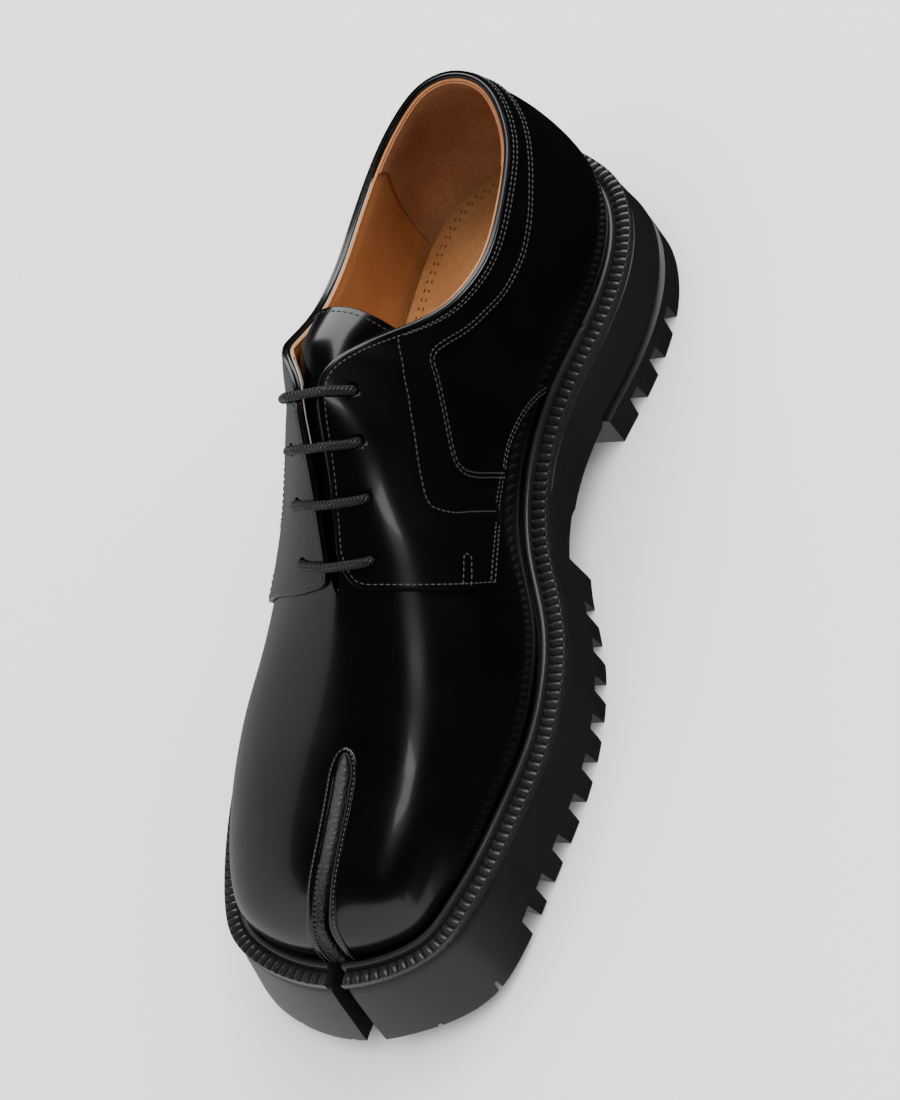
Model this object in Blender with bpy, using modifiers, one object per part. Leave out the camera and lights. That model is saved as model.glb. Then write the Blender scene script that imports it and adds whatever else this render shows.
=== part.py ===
"""Split-toe derby, right shoe: upper, overlays, tongue, insole, welt, outsole, heel and lace bars.

Sizes are in millimetres along the shoe (station 0 at the heel, 300 at the toe) and become metres in place().
"""
import math

import bmesh
import bpy
import mathutils
import numpy as np

SOLE_LENGTH = 300.0
AXIS_SHIFT = 4.92
GAP = 0.35
WELT_THICK = 3.4
WELT_LIP = 2.0
STRIP_WIDTH = 5.4
FEATHER_INSET = 8.0
WELT_REACH = 11.6
WALL = 2.2
OVERLAY = 1.3
OVERLAY_GAP = 0.5
LUG_DEPTH = 8.0
HEEL_TOP = 15.8
HEEL_FRONT = 95.0
WAIST_BOTTOM = 14.5
SOLE_FLARE = 1.6
SPLIT_END = 238.0
SPLIT_HALF = 3.0
THROAT = 196.0
LACE_RADIUS = 1.5
HOLE_RADIUS = 2.1
HOLE_INSET = 9.6

# station, medial half width, lateral half width of the welt
OUTLINE_ROWS = [
    (10, 21.4, 19.6), (22, 34.3, 31.4), (45, 42.0, 38.8), (75, 39.2, 41.2), (100, 32.2, 42.2),
    (125, 29.6, 43.4), (150, 34.1, 48.2), (175, 44.2, 55.1), (200, 48.6, 58.6), (220, 48.2, 58.2),
    (240, 45.2, 55.2), (258, 42.0, 50.4), (275, 37.2, 43.8), (288, 29.8, 33.2)]
# station, height of the welt's top
WELT_ROWS = [(0, 36.0), (40, 36.8), (80, 36.6), (110, 34.0), (140, 30.6), (170, 28.5), (205, 28.2), (235, 30.0),
             (265, 33.8), (300, 39.5)]
# station, height of the tread's face
TREAD_ROWS = [(0, 0), (215, 0), (240, 0.8), (260, 2.1), (280, 4.4), (300, 8.4)]
# station, side offset of the middle line of the vamp and the throat
MIDDLE_ROWS = [(0, 0), (15, 0), (100, -1.6), (138, -3.8), (165, -0.8), (196, 2.4), (222, 5.6), (238, 7.0), (300, 2.0)]
# station of the foot point, station, height and half width of the top point, wall share, side bulge, slant
MEDIAL_RIBS = [
    (None, 285.4, 55.4, 0.0, 0.0, 0.0, 1.0), (286, 276.5, 60.6, 0.0, 0.0, 0.5, 1.0),
    (265, 260.0, 64.8, 0.0, 0.0, 1.0, 1.0), (238, 238.0, 69.8, 0.0, 0.0, 1.5, 1.0),
    (220, 220.0, 76.6, 0.0, 0.0, 1.5, 1.0), (196, 196.0, 88.0, 0.0, 0.05, 1.8, 1.0),
    (168, 168.0, 105.0, 3.4, 0.25, 4.0, 1.0), (136, 139.5, 123.0, 6.6, 0.5, 5.5, 1.0),
    (119, 122.0, 111.0, 14.2, 0.7, 4.4, 1.0), (101, 104.0, 97.0, 22.8, 0.88, 3.0, 1.0),
    (74, 77.0, 90.0, 27.0, 1.0, 1.5, 1.0), (44, 47.0, 91.0, 25.0, 1.0, 2.0, 1.0),
    (20, 26.0, 93.6, 16.6, 1.0, 3.0, 1.0), (12.5, 18.6, 95.0, 9.4, 1.0, 3.4, 1.0),
    (None, 15.6, 95.5, 0.0, 1.0, 3.5, 1.0)]
LATERAL_RIBS = [
    (None, 285.4, 55.4, 0.0, 0.0, 0.0, 1.0), (286, 276.5, 60.6, 0.0, 0.0, 1.6, 0.98),
    (265, 260.0, 64.8, 0.0, 0.0, 2.8, 0.95), (238, 238.0, 69.8, 0.0, 0.0, 2.6, 1.0),
    (220, 220.0, 76.6, 0.0, 0.0, 1.6, 1.07), (196, 196.0, 88.0, 0.0, 0.05, 0.6, 1.27),
    (168, 168.0, 105.0, 3.4, 0.2, 1.0, 1.4), (134, 137.0, 122.5, 10.8, 0.45, 1.2, 1.36),
    (116, 119.0, 110.0, 16.0, 0.65, 1.0, 1.2), (98, 101.0, 97.5, 21.2, 0.85, 1.4, 1.0),
    (72, 74.0, 90.0, 24.2, 1.0, 1.5, 1.0), (44, 46.0, 91.0, 22.0, 1.0, 2.0, 1.0),
    (20, 26.0, 93.6, 15.0, 1.0, 3.0, 1.0), (12.5, 18.6, 95.0, 8.8, 1.0, 3.4, 1.0),
    (None, 15.6, 95.5, 0.0, 1.0, 3.5, 1.0)]
# edge of the quarter: share along the foot line and height share of the lower edge, share along the top edge
QUARTER_ROWS = [
    (0.391, 0.320, 0.352), (0.410, 0.345, 0.375), (0.440, 0.315, 0.405), (0.468, 0.290, 0.435),
    (0.486, 0.290, 0.455), (0.492, 0.335, 0.468), (0.494, 0.400, 0.480), (0.505, 0.462, 0.500),
    (0.530, 0.505, 0.525), (0.558, 0.590, 0.552), (0.588, 0.735, 0.586), (0.600, 0.775, 0.602),
    (0.640, 0.792, 0.642), (0.700, 0.792, 0.702), (0.780, 0.820, 0.780), (0.850, 0.845, 0.850),
    (0.900, 0.852, 0.900), (0.940, 0.856, 0.940), (0.970, 0.858, 0.970), (0.9985, 0.860, 0.9985)]
LACE_STATIONS = [144.0, 157.2, 171.0, 186.6]
# gap between two lugs: outer station, outer offset, inner station, inner offset
FOREFOOT_GAPS = [
    (264, 52, 254, 6), (252.6, 56, 246.5, 9.5), (238.8, 58, 236, 12.5), (224.6, 60, 223.6, 13.5),
    (211.2, 60, 211, 14), (197.6, 60, 198, 13), (184.6, 58, 186.2, 11.5), (170.8, 54, 174.4, 8), (157.2, 52, 163, 6),
    (266, -62, 243.5, -11), (253.5, -64, 236.2, -13), (241.6, -68, 227, -15), (228.6, -70, 215.6, -17),
    (214.6, -72, 203.6, -17.5), (200, -72, 190.4, -18), (184, -70, 176.2, -18), (169, -66, 163, -17),
    (154.6, -62, 151.5, -17)]
HEEL_GAPS = [(82, 50, 82, 9), (67, 52, 69, 9), (51, 54, 56, 9), (81, -54, 80, -10), (67, -54, 66, -10),
             (53, -54, 53, -11), (38, -52, 43, -11)]
# narrow slits of the toe fan and the heel fan: outer station, outer offset, inner station, inner offset
TOE_SLITS = [(304, 25, 267, 8.5), (290, 45, 260, 9), (308, -6, 259, -2.6), (302, -26, 257, -7.5), (290, -48, 254, -12)]
HEEL_SLITS = [(6, 42, 46, 9), (-8, 7, 37, 3.5), (-6, -14, 37, -4.5), (10, -44, 42, -10)]
# middle channel of the tread, station and offset
CHANNEL = [(257, 3.5), (248, 9), (238.5, 12.5), (228, 13.5), (216, 14.5), (202, 13.5), (189, 12.5), (175, 8.5),
           (150, 4), (120, 4), (120, -17), (150, -17.5), (176, -18.5), (190, -18.5), (204, -18), (216, -17.5),
           (227, -15.5), (237, -13.5), (247, -10), (256, -4)]
HEEL_CHANNEL = [(110, 9.3), (56, 9.6), (47, 7.5), (43, 0), (46, -8), (54, -11), (110, -10.5)]
STUDS = [(243.2, -1.8), (231.2, -8.2), (221.2, 2.6), (212.4, -10.4), (201.4, 1.0), (185, -7.4), (165.5, -5.2)]
HEEL_STUDS = [(84.5, -0.6), (65, -1.4)]
STUD_OUTER = 6.6
STUD_INNER = 3.4
# rear edge of the forefoot tread, station and offset
WAIST_PLAN = [(97, 70), (145.5, 70), (144.5, 36), (153, 6), (151, 2), (150, -14), (146, -17), (141, -20), (138.5, -70),
              (97, -70)]


def clear_scene():
    for item in list(bpy.data.objects):
        bpy.data.objects.remove(item, do_unlink=True)


def smooth(rows, column, where, level_end=False):
    """Shape-keeping cubic through one column of a table, level at the far end on request."""
    table = np.array([[row[0], row[column]] for row in rows], float)
    x, y = table[:, 0], table[:, 1]
    where = np.clip(np.asarray(where, float), x[0], x[-1])
    step = np.diff(x)
    slope = np.diff(y) / step
    tangent = np.zeros(len(x))
    for i in range(1, len(x) - 1):
        if slope[i - 1] * slope[i] > 0:
            left, right = 2 * step[i] + step[i - 1], step[i] + 2 * step[i - 1]
            tangent[i] = (left + right) / (left / slope[i - 1] + right / slope[i])
    tangent[0], tangent[-1] = slope[0], 0.0 if level_end else slope[-1]
    i = np.clip(np.searchsorted(x, where, side="right") - 1, 0, len(x) - 2)
    t = (where - x[i]) / step[i]
    rise = (1 + 2 * t) * (1 - t) ** 2 * y[i] + t * (1 - t) ** 2 * step[i] * tangent[i]
    return rise + t * t * (3 - 2 * t) * y[i + 1] + t * t * (t - 1) * step[i] * tangent[i + 1]


def welt_top(station):
    return smooth(WELT_ROWS, 1, station)


def tread_face(station):
    return smooth(TREAD_ROWS, 1, station)


def middle(station):
    return smooth(MIDDLE_ROWS, 1, station)


def closed_spline(points, per_span):
    pts = np.asarray(points, float)
    count = len(pts)
    step = np.linalg.norm(np.roll(pts, -1, 0) - pts, axis=1) ** 0.5
    matrix = np.zeros((count, count))
    right = np.zeros((count, 2))
    for i in range(count):
        before, after, nxt = step[i - 1], step[i], (i + 1) % count
        matrix[i, i - 1] += after
        matrix[i, i] += 2 * (before + after)
        matrix[i, nxt] += before
        right[i] = 3 * (after / before * (pts[i] - pts[i - 1]) + before / after * (pts[nxt] - pts[i]))
    tangent = np.linalg.solve(matrix, right)
    t = np.linspace(0, 1, per_span, endpoint=False)[:, None]
    spans = []
    for i in range(count):
        nxt = (i + 1) % count
        span = (1 + 2 * t) * (1 - t) ** 2 * pts[i] + t * (1 - t) ** 2 * step[i] * tangent[i]
        spans.append(span + t * t * (3 - 2 * t) * pts[nxt] + t * t * (t - 1) * step[i] * tangent[nxt])
    return np.vstack(spans)


def outline_curve():
    medial = [(row[1], row[0]) for row in reversed(OUTLINE_ROWS)]
    lateral = [(-row[2], row[0]) for row in OUTLINE_ROWS]
    return closed_spline([(0.5, SOLE_LENGTH - 1.4)] + medial + [(1.0, 2.0)] + lateral, 24)


OUTLINE = outline_curve()


def inset_halves(inset):
    """Medial and lateral halves of the outline moved inwards, each from the toe to the heel."""
    ahead = np.roll(OUTLINE, -1, 0) - np.roll(OUTLINE, 1, 0)
    ahead /= np.linalg.norm(ahead, axis=1)[:, None]
    inward = np.stack([ahead[:, 1], -ahead[:, 0]], 1)
    curve = OUTLINE + inset * inward
    toe, heel = int(curve[:, 1].argmax()), int(curve[:, 1].argmin())
    curve = np.roll(curve, -toe, 0)
    heel = (heel - toe) % len(curve)
    return curve[:heel + 1], np.vstack([curve[heel:], curve[:1]])[::-1]


def ring(inset, shares):
    """Closed ring of points: toe, medial side, heel, lateral side, at the same stations on both sides."""
    medial, lateral = inset_halves(inset)
    low, high = medial[-1, 1], medial[0, 1]
    stations = high - (high - low) * np.asarray(shares)
    x_medial = np.interp(stations, medial[::-1, 1], medial[::-1, 0])
    x_lateral = np.interp(stations, lateral[::-1, 1], lateral[::-1, 0])
    side_a = np.stack([x_medial, stations], 1)
    side_b = np.stack([x_lateral, stations], 1)
    return np.vstack([side_a, side_b[-2:0:-1]])


def place(points):
    """From offset, station and height in millimetres to the part's frame in metres."""
    pts = np.asarray(points, float).reshape(-1, 3)
    out = np.stack([pts[:, 0] + AXIS_SHIFT, SOLE_LENGTH / 2 - pts[:, 1], pts[:, 2]], 1) / 1000.0
    return [tuple(p) for p in out]


def make_material(name, color, roughness):
    material = bpy.data.materials.new(name)
    material.use_nodes = True
    shader = material.node_tree.nodes["Principled BSDF"]
    shader.inputs["Base Color"].default_value = (*color, 1.0)
    shader.inputs["Roughness"].default_value = roughness
    material.diffuse_color = (*color, 1.0)
    return material


def add_mesh(name, points, faces, material=None):
    mesh = bpy.data.meshes.new(name)
    mesh.from_pydata(place(points), [], faces)
    mesh.update()
    item = bpy.data.objects.new(name, mesh)
    bpy.context.scene.collection.objects.link(item)
    if material:
        mesh.materials.append(material)
    return item


def face_out(item):
    work = bmesh.new()
    work.from_mesh(item.data)
    bmesh.ops.recalc_face_normals(work, faces=work.faces)
    work.to_mesh(item.data)
    work.free()


def stack_rings(name, rings, material=None):
    """Solid between rings: side walls, and caps made of strips from side to side."""
    size, half = len(rings[0]), len(rings[0]) // 2
    points = np.vstack(rings)
    faces = []
    for level in range(len(rings) - 1):
        a, b = level * size, (level + 1) * size
        for j in range(size):
            k = (j + 1) % size
            faces.append((a + j, a + k, b + k, b + j))
    for base in (0, (len(rings) - 1) * size):
        for j in range(half):
            corners = [base + j, base + j + 1, base + (size - j - 1) % size, base + (size - j) % size]
            face = []
            for corner in corners:
                if corner not in face:
                    face.append(corner)
            faces.append(tuple(face))
    item = add_mesh(name, points, faces, material)
    face_out(item)
    return item


def with_height(flat, height):
    return np.column_stack([flat, np.broadcast_to(height, len(flat))])


def select_only(item):
    for other in bpy.context.selected_objects:
        other.select_set(False)
    item.select_set(True)
    bpy.context.view_layer.objects.active = item


def apply_modifier(item, kind, **settings):
    modifier = item.modifiers.new(kind.title(), kind)
    for key, value in settings.items():
        setattr(modifier, key, value)
    select_only(item)
    bpy.ops.object.modifier_apply(modifier=modifier.name)


def cutter_home():
    home = bpy.data.collections.get("cutters")
    if home is None:
        home = bpy.data.collections.new("cutters")
        bpy.context.scene.collection.children.link(home)
    return home


def as_cutter(item):
    for home in list(item.users_collection):
        home.objects.unlink(item)
    cutter_home().objects.link(item)
    item.hide_render = True
    item.display_type = "WIRE"
    return item


def cut(item, cutters):
    """Take joined cutters out of a solid."""
    tool = cutters[0]
    if len(cutters) > 1:
        select_only(tool)
        for other in cutters[1:]:
            other.select_set(True)
        bpy.ops.object.join()
    as_cutter(tool)
    apply_modifier(item, "BOOLEAN", object=tool, operation="DIFFERENCE", solver="EXACT")
    bpy.data.objects.remove(tool, do_unlink=True)


def bar_cutter(outer, inner, wide, narrow, low, high, lean):
    """Cube drawn out to a bar between two plan points, wider at the floor."""
    outer, inner = np.array(outer, float), np.array(inner, float)
    along = (inner - outer) / np.linalg.norm(inner - outer)
    across = np.array([-along[1], along[0]])
    bpy.ops.mesh.primitive_cube_add(size=2)
    item = bpy.context.active_object
    corners = []
    for vertex in item.data.vertices:
        end, half = (outer, wide / 2) if vertex.co.x < 0 else (inner, narrow / 2)
        level, spread = (low, lean) if vertex.co.z < 0 else (high, 0.0)
        flat = end + across * (half + spread) * (1 if vertex.co.y > 0 else -1)
        corners.append((flat[0], flat[1], level))
    for vertex, point in zip(item.data.vertices, place(corners)):
        vertex.co = point
    face_out(item)
    return item


def plan_cutter(name, plan, low, high):
    """Prism over a plan of stations and offsets; heights are numbers or functions of the station."""
    flat = np.array([(x, y) for y, x in plan], float)
    count = len(flat)
    levels = [level(flat[:, 1]) if callable(level) else level for level in (low, high)]
    points = np.vstack([with_height(flat, level) for level in levels])
    faces = [tuple(range(count)), tuple(range(count, 2 * count))]
    for j in range(count):
        k = (j + 1) % count
        faces.append((j, k, count + k, count + j))
    item = add_mesh(name, points, faces)
    face_out(item)
    return item


def stud_cutter(station, offset, low, high):
    """Eight-sided cylinder pinched to a four-pointed star, narrower at the floor."""
    bpy.ops.mesh.primitive_cylinder_add(vertices=8, radius=1, depth=2)
    item = bpy.context.active_object
    corners = []
    for vertex in item.data.vertices:
        turn = math.atan2(vertex.co.y, vertex.co.x)
        step = round(turn / (math.pi / 4)) % 2
        reach = (STUD_OUTER if step == 0 else STUD_INNER) + (0.0 if vertex.co.z < 0 else 0.8)
        level = low if vertex.co.z < 0 else high
        turn += math.radians(20)
        corners.append((offset + reach * math.cos(turn), station + reach * math.sin(turn), level))
    for vertex, point in zip(item.data.vertices, place(corners)):
        vertex.co = point
    face_out(item)
    return item


def split_cutter(reach, half, inner_half, low, high):
    plan = [(SOLE_LENGTH + 12, 1.6 + half), (reach, middle(reach) - 1.4 + inner_half),
            (reach, middle(reach) - 1.4 - inner_half), (SOLE_LENGTH + 12, 1.6 - half)]
    return plan_cutter("split", plan, low, high)


def channel_cutter(plan, studs, depth):
    channel = plan_cutter("channel", plan, -8.0, lambda y: tread_face(y) + depth)
    cut(channel, [stud_cutter(y, x, -20.0, 40.0) for y, x in studs])
    return channel


def station_shares(stations):
    inner = (SOLE_LENGTH - np.array(stations)) / SOLE_LENGTH
    ends = 0.5 - 0.5 * np.cos(np.linspace(0, math.pi, 31))
    near = [share for share in ends if all(abs(inner - share) > 0.012)]
    return np.array(sorted(near + list(inner)))


def sole_bottom(station):
    station = np.asarray(station, float)
    tread = tread_face(station)
    rear = np.where(station < HEEL_FRONT + 3, HEEL_TOP + 0.8, WAIST_BOTTOM)
    return np.where(station > 129, tread, rear)


def build_outsole(rubber):
    shares = station_shares([96, 99, 127, 130])
    rings = []
    for inset, lift in ((-SOLE_FLARE, 0.0), (-SOLE_FLARE * 0.6, 0.45), (0.0, 0.86), (0.6, 1.0)):
        flat = ring(inset, shares)
        low, high = sole_bottom(flat[:, 1]), welt_top(flat[:, 1]) - WELT_THICK - GAP
        rings.append(with_height(flat, low + (high - low) * lift))
    sole = stack_rings("outsole", rings, rubber)
    cut(sole, [plan_cutter("waist", WAIST_PLAN, -8.0, WAIST_BOTTOM)])
    gaps = []
    for outer_y, outer_x, inner_y, inner_x in FOREFOOT_GAPS:
        level = float(tread_face((outer_y + inner_y) / 2)) + LUG_DEPTH
        gaps.append(bar_cutter((outer_x, outer_y), (inner_x, inner_y), 5.6, 3.4, -6.0, level, 1.3))
    cut(sole, gaps)
    cut(sole, [channel_cutter(CHANNEL, STUDS, LUG_DEPTH - 0.4)])
    slits = []
    for outer_y, outer_x, inner_y, inner_x in TOE_SLITS:
        level = float(tread_face(285)) + 3.5
        slits.append(bar_cutter((outer_x, outer_y), (inner_x, inner_y), 1.5, 1.1, -6.0, level, 0.0))
    cut(sole, slits)
    cut(sole, [split_cutter(256.0, 3.4, 1.7, -8.0, 70.0)])
    return sole


def build_heel(rubber):
    stations = np.array([HEEL_FRONT, 88, 76, 62, 48, 35, 24, 15, 8, 3.5, 1])
    rings = []
    for inset, level in ((-SOLE_FLARE, 0.0), (-SOLE_FLARE, HEEL_TOP - 3.4), (1.6, HEEL_TOP - 2.6), (1.6, HEEL_TOP)):
        medial, lateral = inset_halves(inset)
        low = medial[-1, 1]
        reach = np.maximum(stations, low)
        reach[-1] = low
        x_medial = np.interp(reach, medial[::-1, 1], medial[::-1, 0])
        x_lateral = np.interp(reach, lateral[::-1, 1], lateral[::-1, 0])
        front = np.stack([x_medial, reach], 1)
        back = np.stack([x_lateral, reach], 1)
        flat = np.vstack([[((x_medial[0] + x_lateral[0]) / 2, HEEL_FRONT + 0.4)], front, back[-2::-1]])
        rings.append(with_height(flat, level))
    heel = stack_rings("heel", rings, rubber)
    gaps = [bar_cutter((ox, oy), (ix, iy), 5.4, 3.4, -6.0, LUG_DEPTH, 1.3) for oy, ox, iy, ix in HEEL_GAPS]
    cut(heel, [channel_cutter(HEEL_CHANNEL, HEEL_STUDS, LUG_DEPTH - 0.4)])
    cut(heel, gaps)
    cut(heel, [bar_cutter((ox, oy), (ix, iy), 1.5, 1.3, -6.0, 3.5, 0.0) for oy, ox, iy, ix in HEEL_SLITS])
    return heel


def build_welt(rubber):
    shares = station_shares([])
    profile = [(0.0, 0.0), (0.0, WELT_THICK - 0.5), (0.6, WELT_THICK), (STRIP_WIDTH, WELT_THICK),
               (STRIP_WIDTH + 0.5, WELT_THICK + WELT_LIP - 0.4), (STRIP_WIDTH + 1.0, WELT_THICK + WELT_LIP),
               (STRIP_WIDTH + 1.7, WELT_THICK + WELT_LIP - 0.5), (STRIP_WIDTH + 1.9, WELT_THICK - 0.3),
               (WELT_REACH, WELT_THICK - 0.3), (WELT_REACH, 0.0)]
    rings = []
    for inset, rise in profile:
        flat = ring(inset, shares)
        rings.append(with_height(flat, welt_top(flat[:, 1]) - WELT_THICK + rise))
    size, count = len(rings[0]), len(rings)
    faces = []
    for level in range(count):
        a, b = level * size, ((level + 1) % count) * size
        for j in range(size):
            k = (j + 1) % size
            faces.append((a + j, a + k, b + k, b + j))
    welt = add_mesh("welt", np.vstack(rings), faces, rubber)
    face_out(welt)
    cut(welt, [split_cutter(274.0, 3.0, 2.0, 0.0, 80.0)])
    return welt


def foot_line(side):
    """Line where the upper meets the welt, from the toe split to the heel, as points and length shares."""
    halves = inset_halves(FEATHER_INSET)
    line = halves[0] if side > 0 else halves[1]
    edge = float(middle(SOLE_LENGTH - FEATHER_INSET)) + side * SPLIT_HALF
    other = halves[1] if side > 0 else halves[0]
    line = np.vstack([other[20:0:-1], line])
    line = line[((line[:, 0] - edge) * side > 0.05) | (line[:, 1] < SOLE_LENGTH / 2)]
    length = np.r_[0, np.cumsum(np.linalg.norm(np.diff(line, axis=0), axis=1))]
    return line, length / length[-1]


FOOT_LINES = {1: foot_line(1), -1: foot_line(-1)}


def rib_rows(side):
    line, share = FOOT_LINES[side]
    rows = []
    for index, row in enumerate(MEDIAL_RIBS if side > 0 else LATERAL_RIBS):
        if row[0] is None:
            place_on_line = 0.0 if index == 0 else 1.0
        else:
            place_on_line = float(np.interp(-row[0], -line[:, 1], share))
        rows.append((place_on_line,) + row[1:])
    return rows


RIBS = {1: rib_rows(1), -1: rib_rows(-1)}


def opening_half(station):
    """Half width of the toe split and of the throat at a station."""
    split = SPLIT_HALF * np.sqrt(np.clip((station - SPLIT_END) / 6.0, 0, 1))
    throat = (1.9 + np.clip((190 - station) / 52, 0, 2) * 2.0) * np.sqrt(np.clip((THROAT - station) / 7.0, 0, 1))
    return np.where(station > SPLIT_END, split, throat)


def top_edge(side, share):
    """Top end of each rib: split edge, middle line, throat edge, topline."""
    rows = RIBS[side]
    corner = rows[7][0]
    station = smooth(rows, 1, share, True)
    height = smooth(rows, 2, share, True)
    half = np.where(share < corner, opening_half(station), smooth(rows, 3, share))
    blend = np.clip((share - corner + 0.03) / 0.06, 0, 1)
    blend = blend * blend * (3 - 2 * blend)
    half = np.where(np.abs(share - corner) < 0.03,
                    opening_half(station) * (1 - blend) + smooth(rows, 3, share) * blend, half)
    return np.stack([middle(station) + side * half, station, height], -1)


def upper_point(side, share, rise):
    """Outer face of the upper: share runs from the toe split to the heel, rise from the welt to the top edge."""
    share, rise = np.broadcast_arrays(np.asarray(share, float), np.asarray(rise, float))
    line, along = FOOT_LINES[side]
    foot = np.stack([np.interp(share, along, line[:, 0]), np.interp(share, along, line[:, 1])], -1)
    low, high = np.clip(share - 0.006, 0, 1), np.clip(share + 0.006, 0, 1)
    ahead = np.stack([np.interp(high, along, line[:, i]) - np.interp(low, along, line[:, i]) for i in (0, 1)], -1)
    ahead /= np.linalg.norm(ahead, axis=-1)[..., None]
    outward = np.stack([-ahead[..., 1] * np.clip((1 - share) / 0.02, 0, 1), ahead[..., 0]], -1) * side
    top = top_edge(side, share)
    wall, bulge = smooth(RIBS[side], 4, share), smooth(RIBS[side], 5, share)
    fore, aft = top_edge(side, np.clip(share - 0.01, 0, 1)), top_edge(side, np.clip(share + 0.01, 0, 1))
    run = aft[..., 1] - fore[..., 1]
    slope = (aft[..., 2] - fore[..., 2]) / np.where(np.abs(run) < 0.2, -0.2, run)
    slope = np.clip(slope, -1.0, 0.0) * np.clip(1.0 - wall * 2.2, 0, 1)
    turn = rise * math.pi / 2
    slant = smooth(RIBS[side], 6, share)
    inward = (1 - wall) * (1 - np.abs(np.cos(turn)) ** slant) + wall * rise ** 1.8
    upward = (1 - wall) * np.sin(turn) ** slant + wall * rise
    push = bulge * np.sin(math.pi * np.clip(rise, 0, 1) ** 0.8)
    flat = foot + (top[..., :2] - foot) * inward[..., None] + outward * push[..., None]
    start = welt_top(foot[..., 1]) + GAP - 0.3
    height = start + (top[..., 2] - start) * upward + slope * (flat[..., 1] - top[..., 1]) * upward ** 2
    return np.concatenate([flat, height[..., None]], -1)


def upper_normal(side, share, rise):
    step = 0.004
    share, rise = np.broadcast_arrays(np.asarray(share, float), np.asarray(rise, float))
    a = upper_point(side, np.clip(share + step, 0, 1), rise) - upper_point(side, np.clip(share - step, 0, 1), rise)
    b = upper_point(side, share, np.clip(rise + step, 0, 1)) - upper_point(side, share, np.clip(rise - step, 0, 1))
    normal = np.cross(b, a) * side
    return normal / np.linalg.norm(normal, axis=-1)[..., None]


def on_upper(side, share, rise, lift):
    return upper_point(side, share, rise) + lift * upper_normal(side, share, rise)


def grid_faces(rows, columns, start, flip):
    faces = []
    for i in range(rows - 1):
        for j in range(columns - 1):
            a = start + i * columns + j
            face = (a, a + 1, a + columns + 1, a + columns)
            faces.append(face[::-1] if flip else face)
    return faces


def weld(item, distance):
    work = bmesh.new()
    work.from_mesh(item.data)
    bmesh.ops.remove_doubles(work, verts=work.verts, dist=distance)
    work.to_mesh(item.data)
    work.free()


def upper_shares(side):
    rows = RIBS[side]
    end, throat, corner = rows[3][0], rows[5][0], rows[7][0]
    spans = [(0.0, end - 0.03, 7), (end - 0.03, end, 5), (end, throat, 6), (throat, throat + 0.03, 5),
             (throat + 0.03, corner, 6), (corner, corner + 0.12, 6), (corner + 0.12, 0.94, 8), (0.94, 1.0, 4)]
    shares = [np.linspace(a, b, count, endpoint=False) for a, b, count in spans]
    return np.r_[np.concatenate(shares), 1.0]


def build_upper(leather):
    rises = np.linspace(0, 1, 8)
    points, faces = [], []
    for side in (1, -1):
        shares = upper_shares(side)
        grid = upper_point(side, shares[:, None], rises[None, :])
        faces += grid_faces(len(shares), len(rises), sum(len(p) for p in points), side > 0)
        points.append(grid.reshape(-1, 3))
    upper = add_mesh("upper", np.vstack(points), faces, leather)
    weld(upper, 0.0001)
    face_out(upper)
    apply_modifier(upper, "SOLIDIFY", thickness=WALL / 1000, offset=-1.0, use_even_offset=True)
    face_out(upper)
    return upper


def quarter_grid(side, lift, long_count, wide_count):
    table = [(i / (len(QUARTER_ROWS) - 1),) + row for i, row in enumerate(QUARTER_ROWS)]
    along = np.linspace(0, 1, long_count)
    low_share, low_rise, top_share = (smooth(table, i, along) for i in (1, 2, 3))
    ribs_here, ribs_medial = ([row[0] for row in RIBS[key]] for key in (side, 1))
    low_share, top_share = (np.interp(share, ribs_medial, ribs_here) for share in (low_share, top_share))
    across = np.linspace(0, 1, wide_count)[None, :]
    share = low_share[:, None] + (top_share - low_share)[:, None] * across
    rise = low_rise[:, None] + (0.992 - low_rise)[:, None] * across
    return on_upper(side, share, rise, lift)


def hole_spot(side, station):
    """Share and rise of a lace hole, set in from the throat edge."""
    rows = RIBS[side]
    shares = np.linspace(rows[5][0], rows[7][0], 400)
    share = float(np.interp(-station, -top_edge(side, shares)[:, 1], shares))
    rises = np.linspace(1, 0.3, 400)
    line = upper_point(side, share, rises)
    length = np.r_[0, np.cumsum(np.linalg.norm(np.diff(line, axis=0), axis=1))]
    return share, float(np.interp(HOLE_INSET, length, rises))


def round_cutter(center, normal, radius, length):
    bpy.ops.mesh.primitive_cylinder_add(vertices=10, radius=radius / 1000, depth=length / 1000)
    item = bpy.context.active_object
    direction = mathutils.Vector((normal[0], -normal[1], normal[2]))
    turn = direction.to_track_quat("Z", "Y").to_matrix().to_4x4()
    spot = mathutils.Vector(place(center)[0])
    item.data.transform(mathutils.Matrix.Translation(spot) @ turn)
    return item


def build_quarter(name, side, leather):
    long_count, wide_count = 48, 6
    grid = quarter_grid(side, OVERLAY_GAP, long_count, wide_count)
    item = add_mesh(name, grid.reshape(-1, 3), grid_faces(long_count, wide_count, 0, side > 0), leather)
    apply_modifier(item, "SOLIDIFY", thickness=OVERLAY / 1000, offset=1.0, use_even_offset=True)
    face_out(item)
    tools = []
    for station in LACE_STATIONS:
        share, rise = hole_spot(side, station)
        tools.append(round_cutter(on_upper(side, share, rise, 1.0), upper_normal(side, share, rise), HOLE_RADIUS, 6.0))
    cut(item, tools)
    return item


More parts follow.
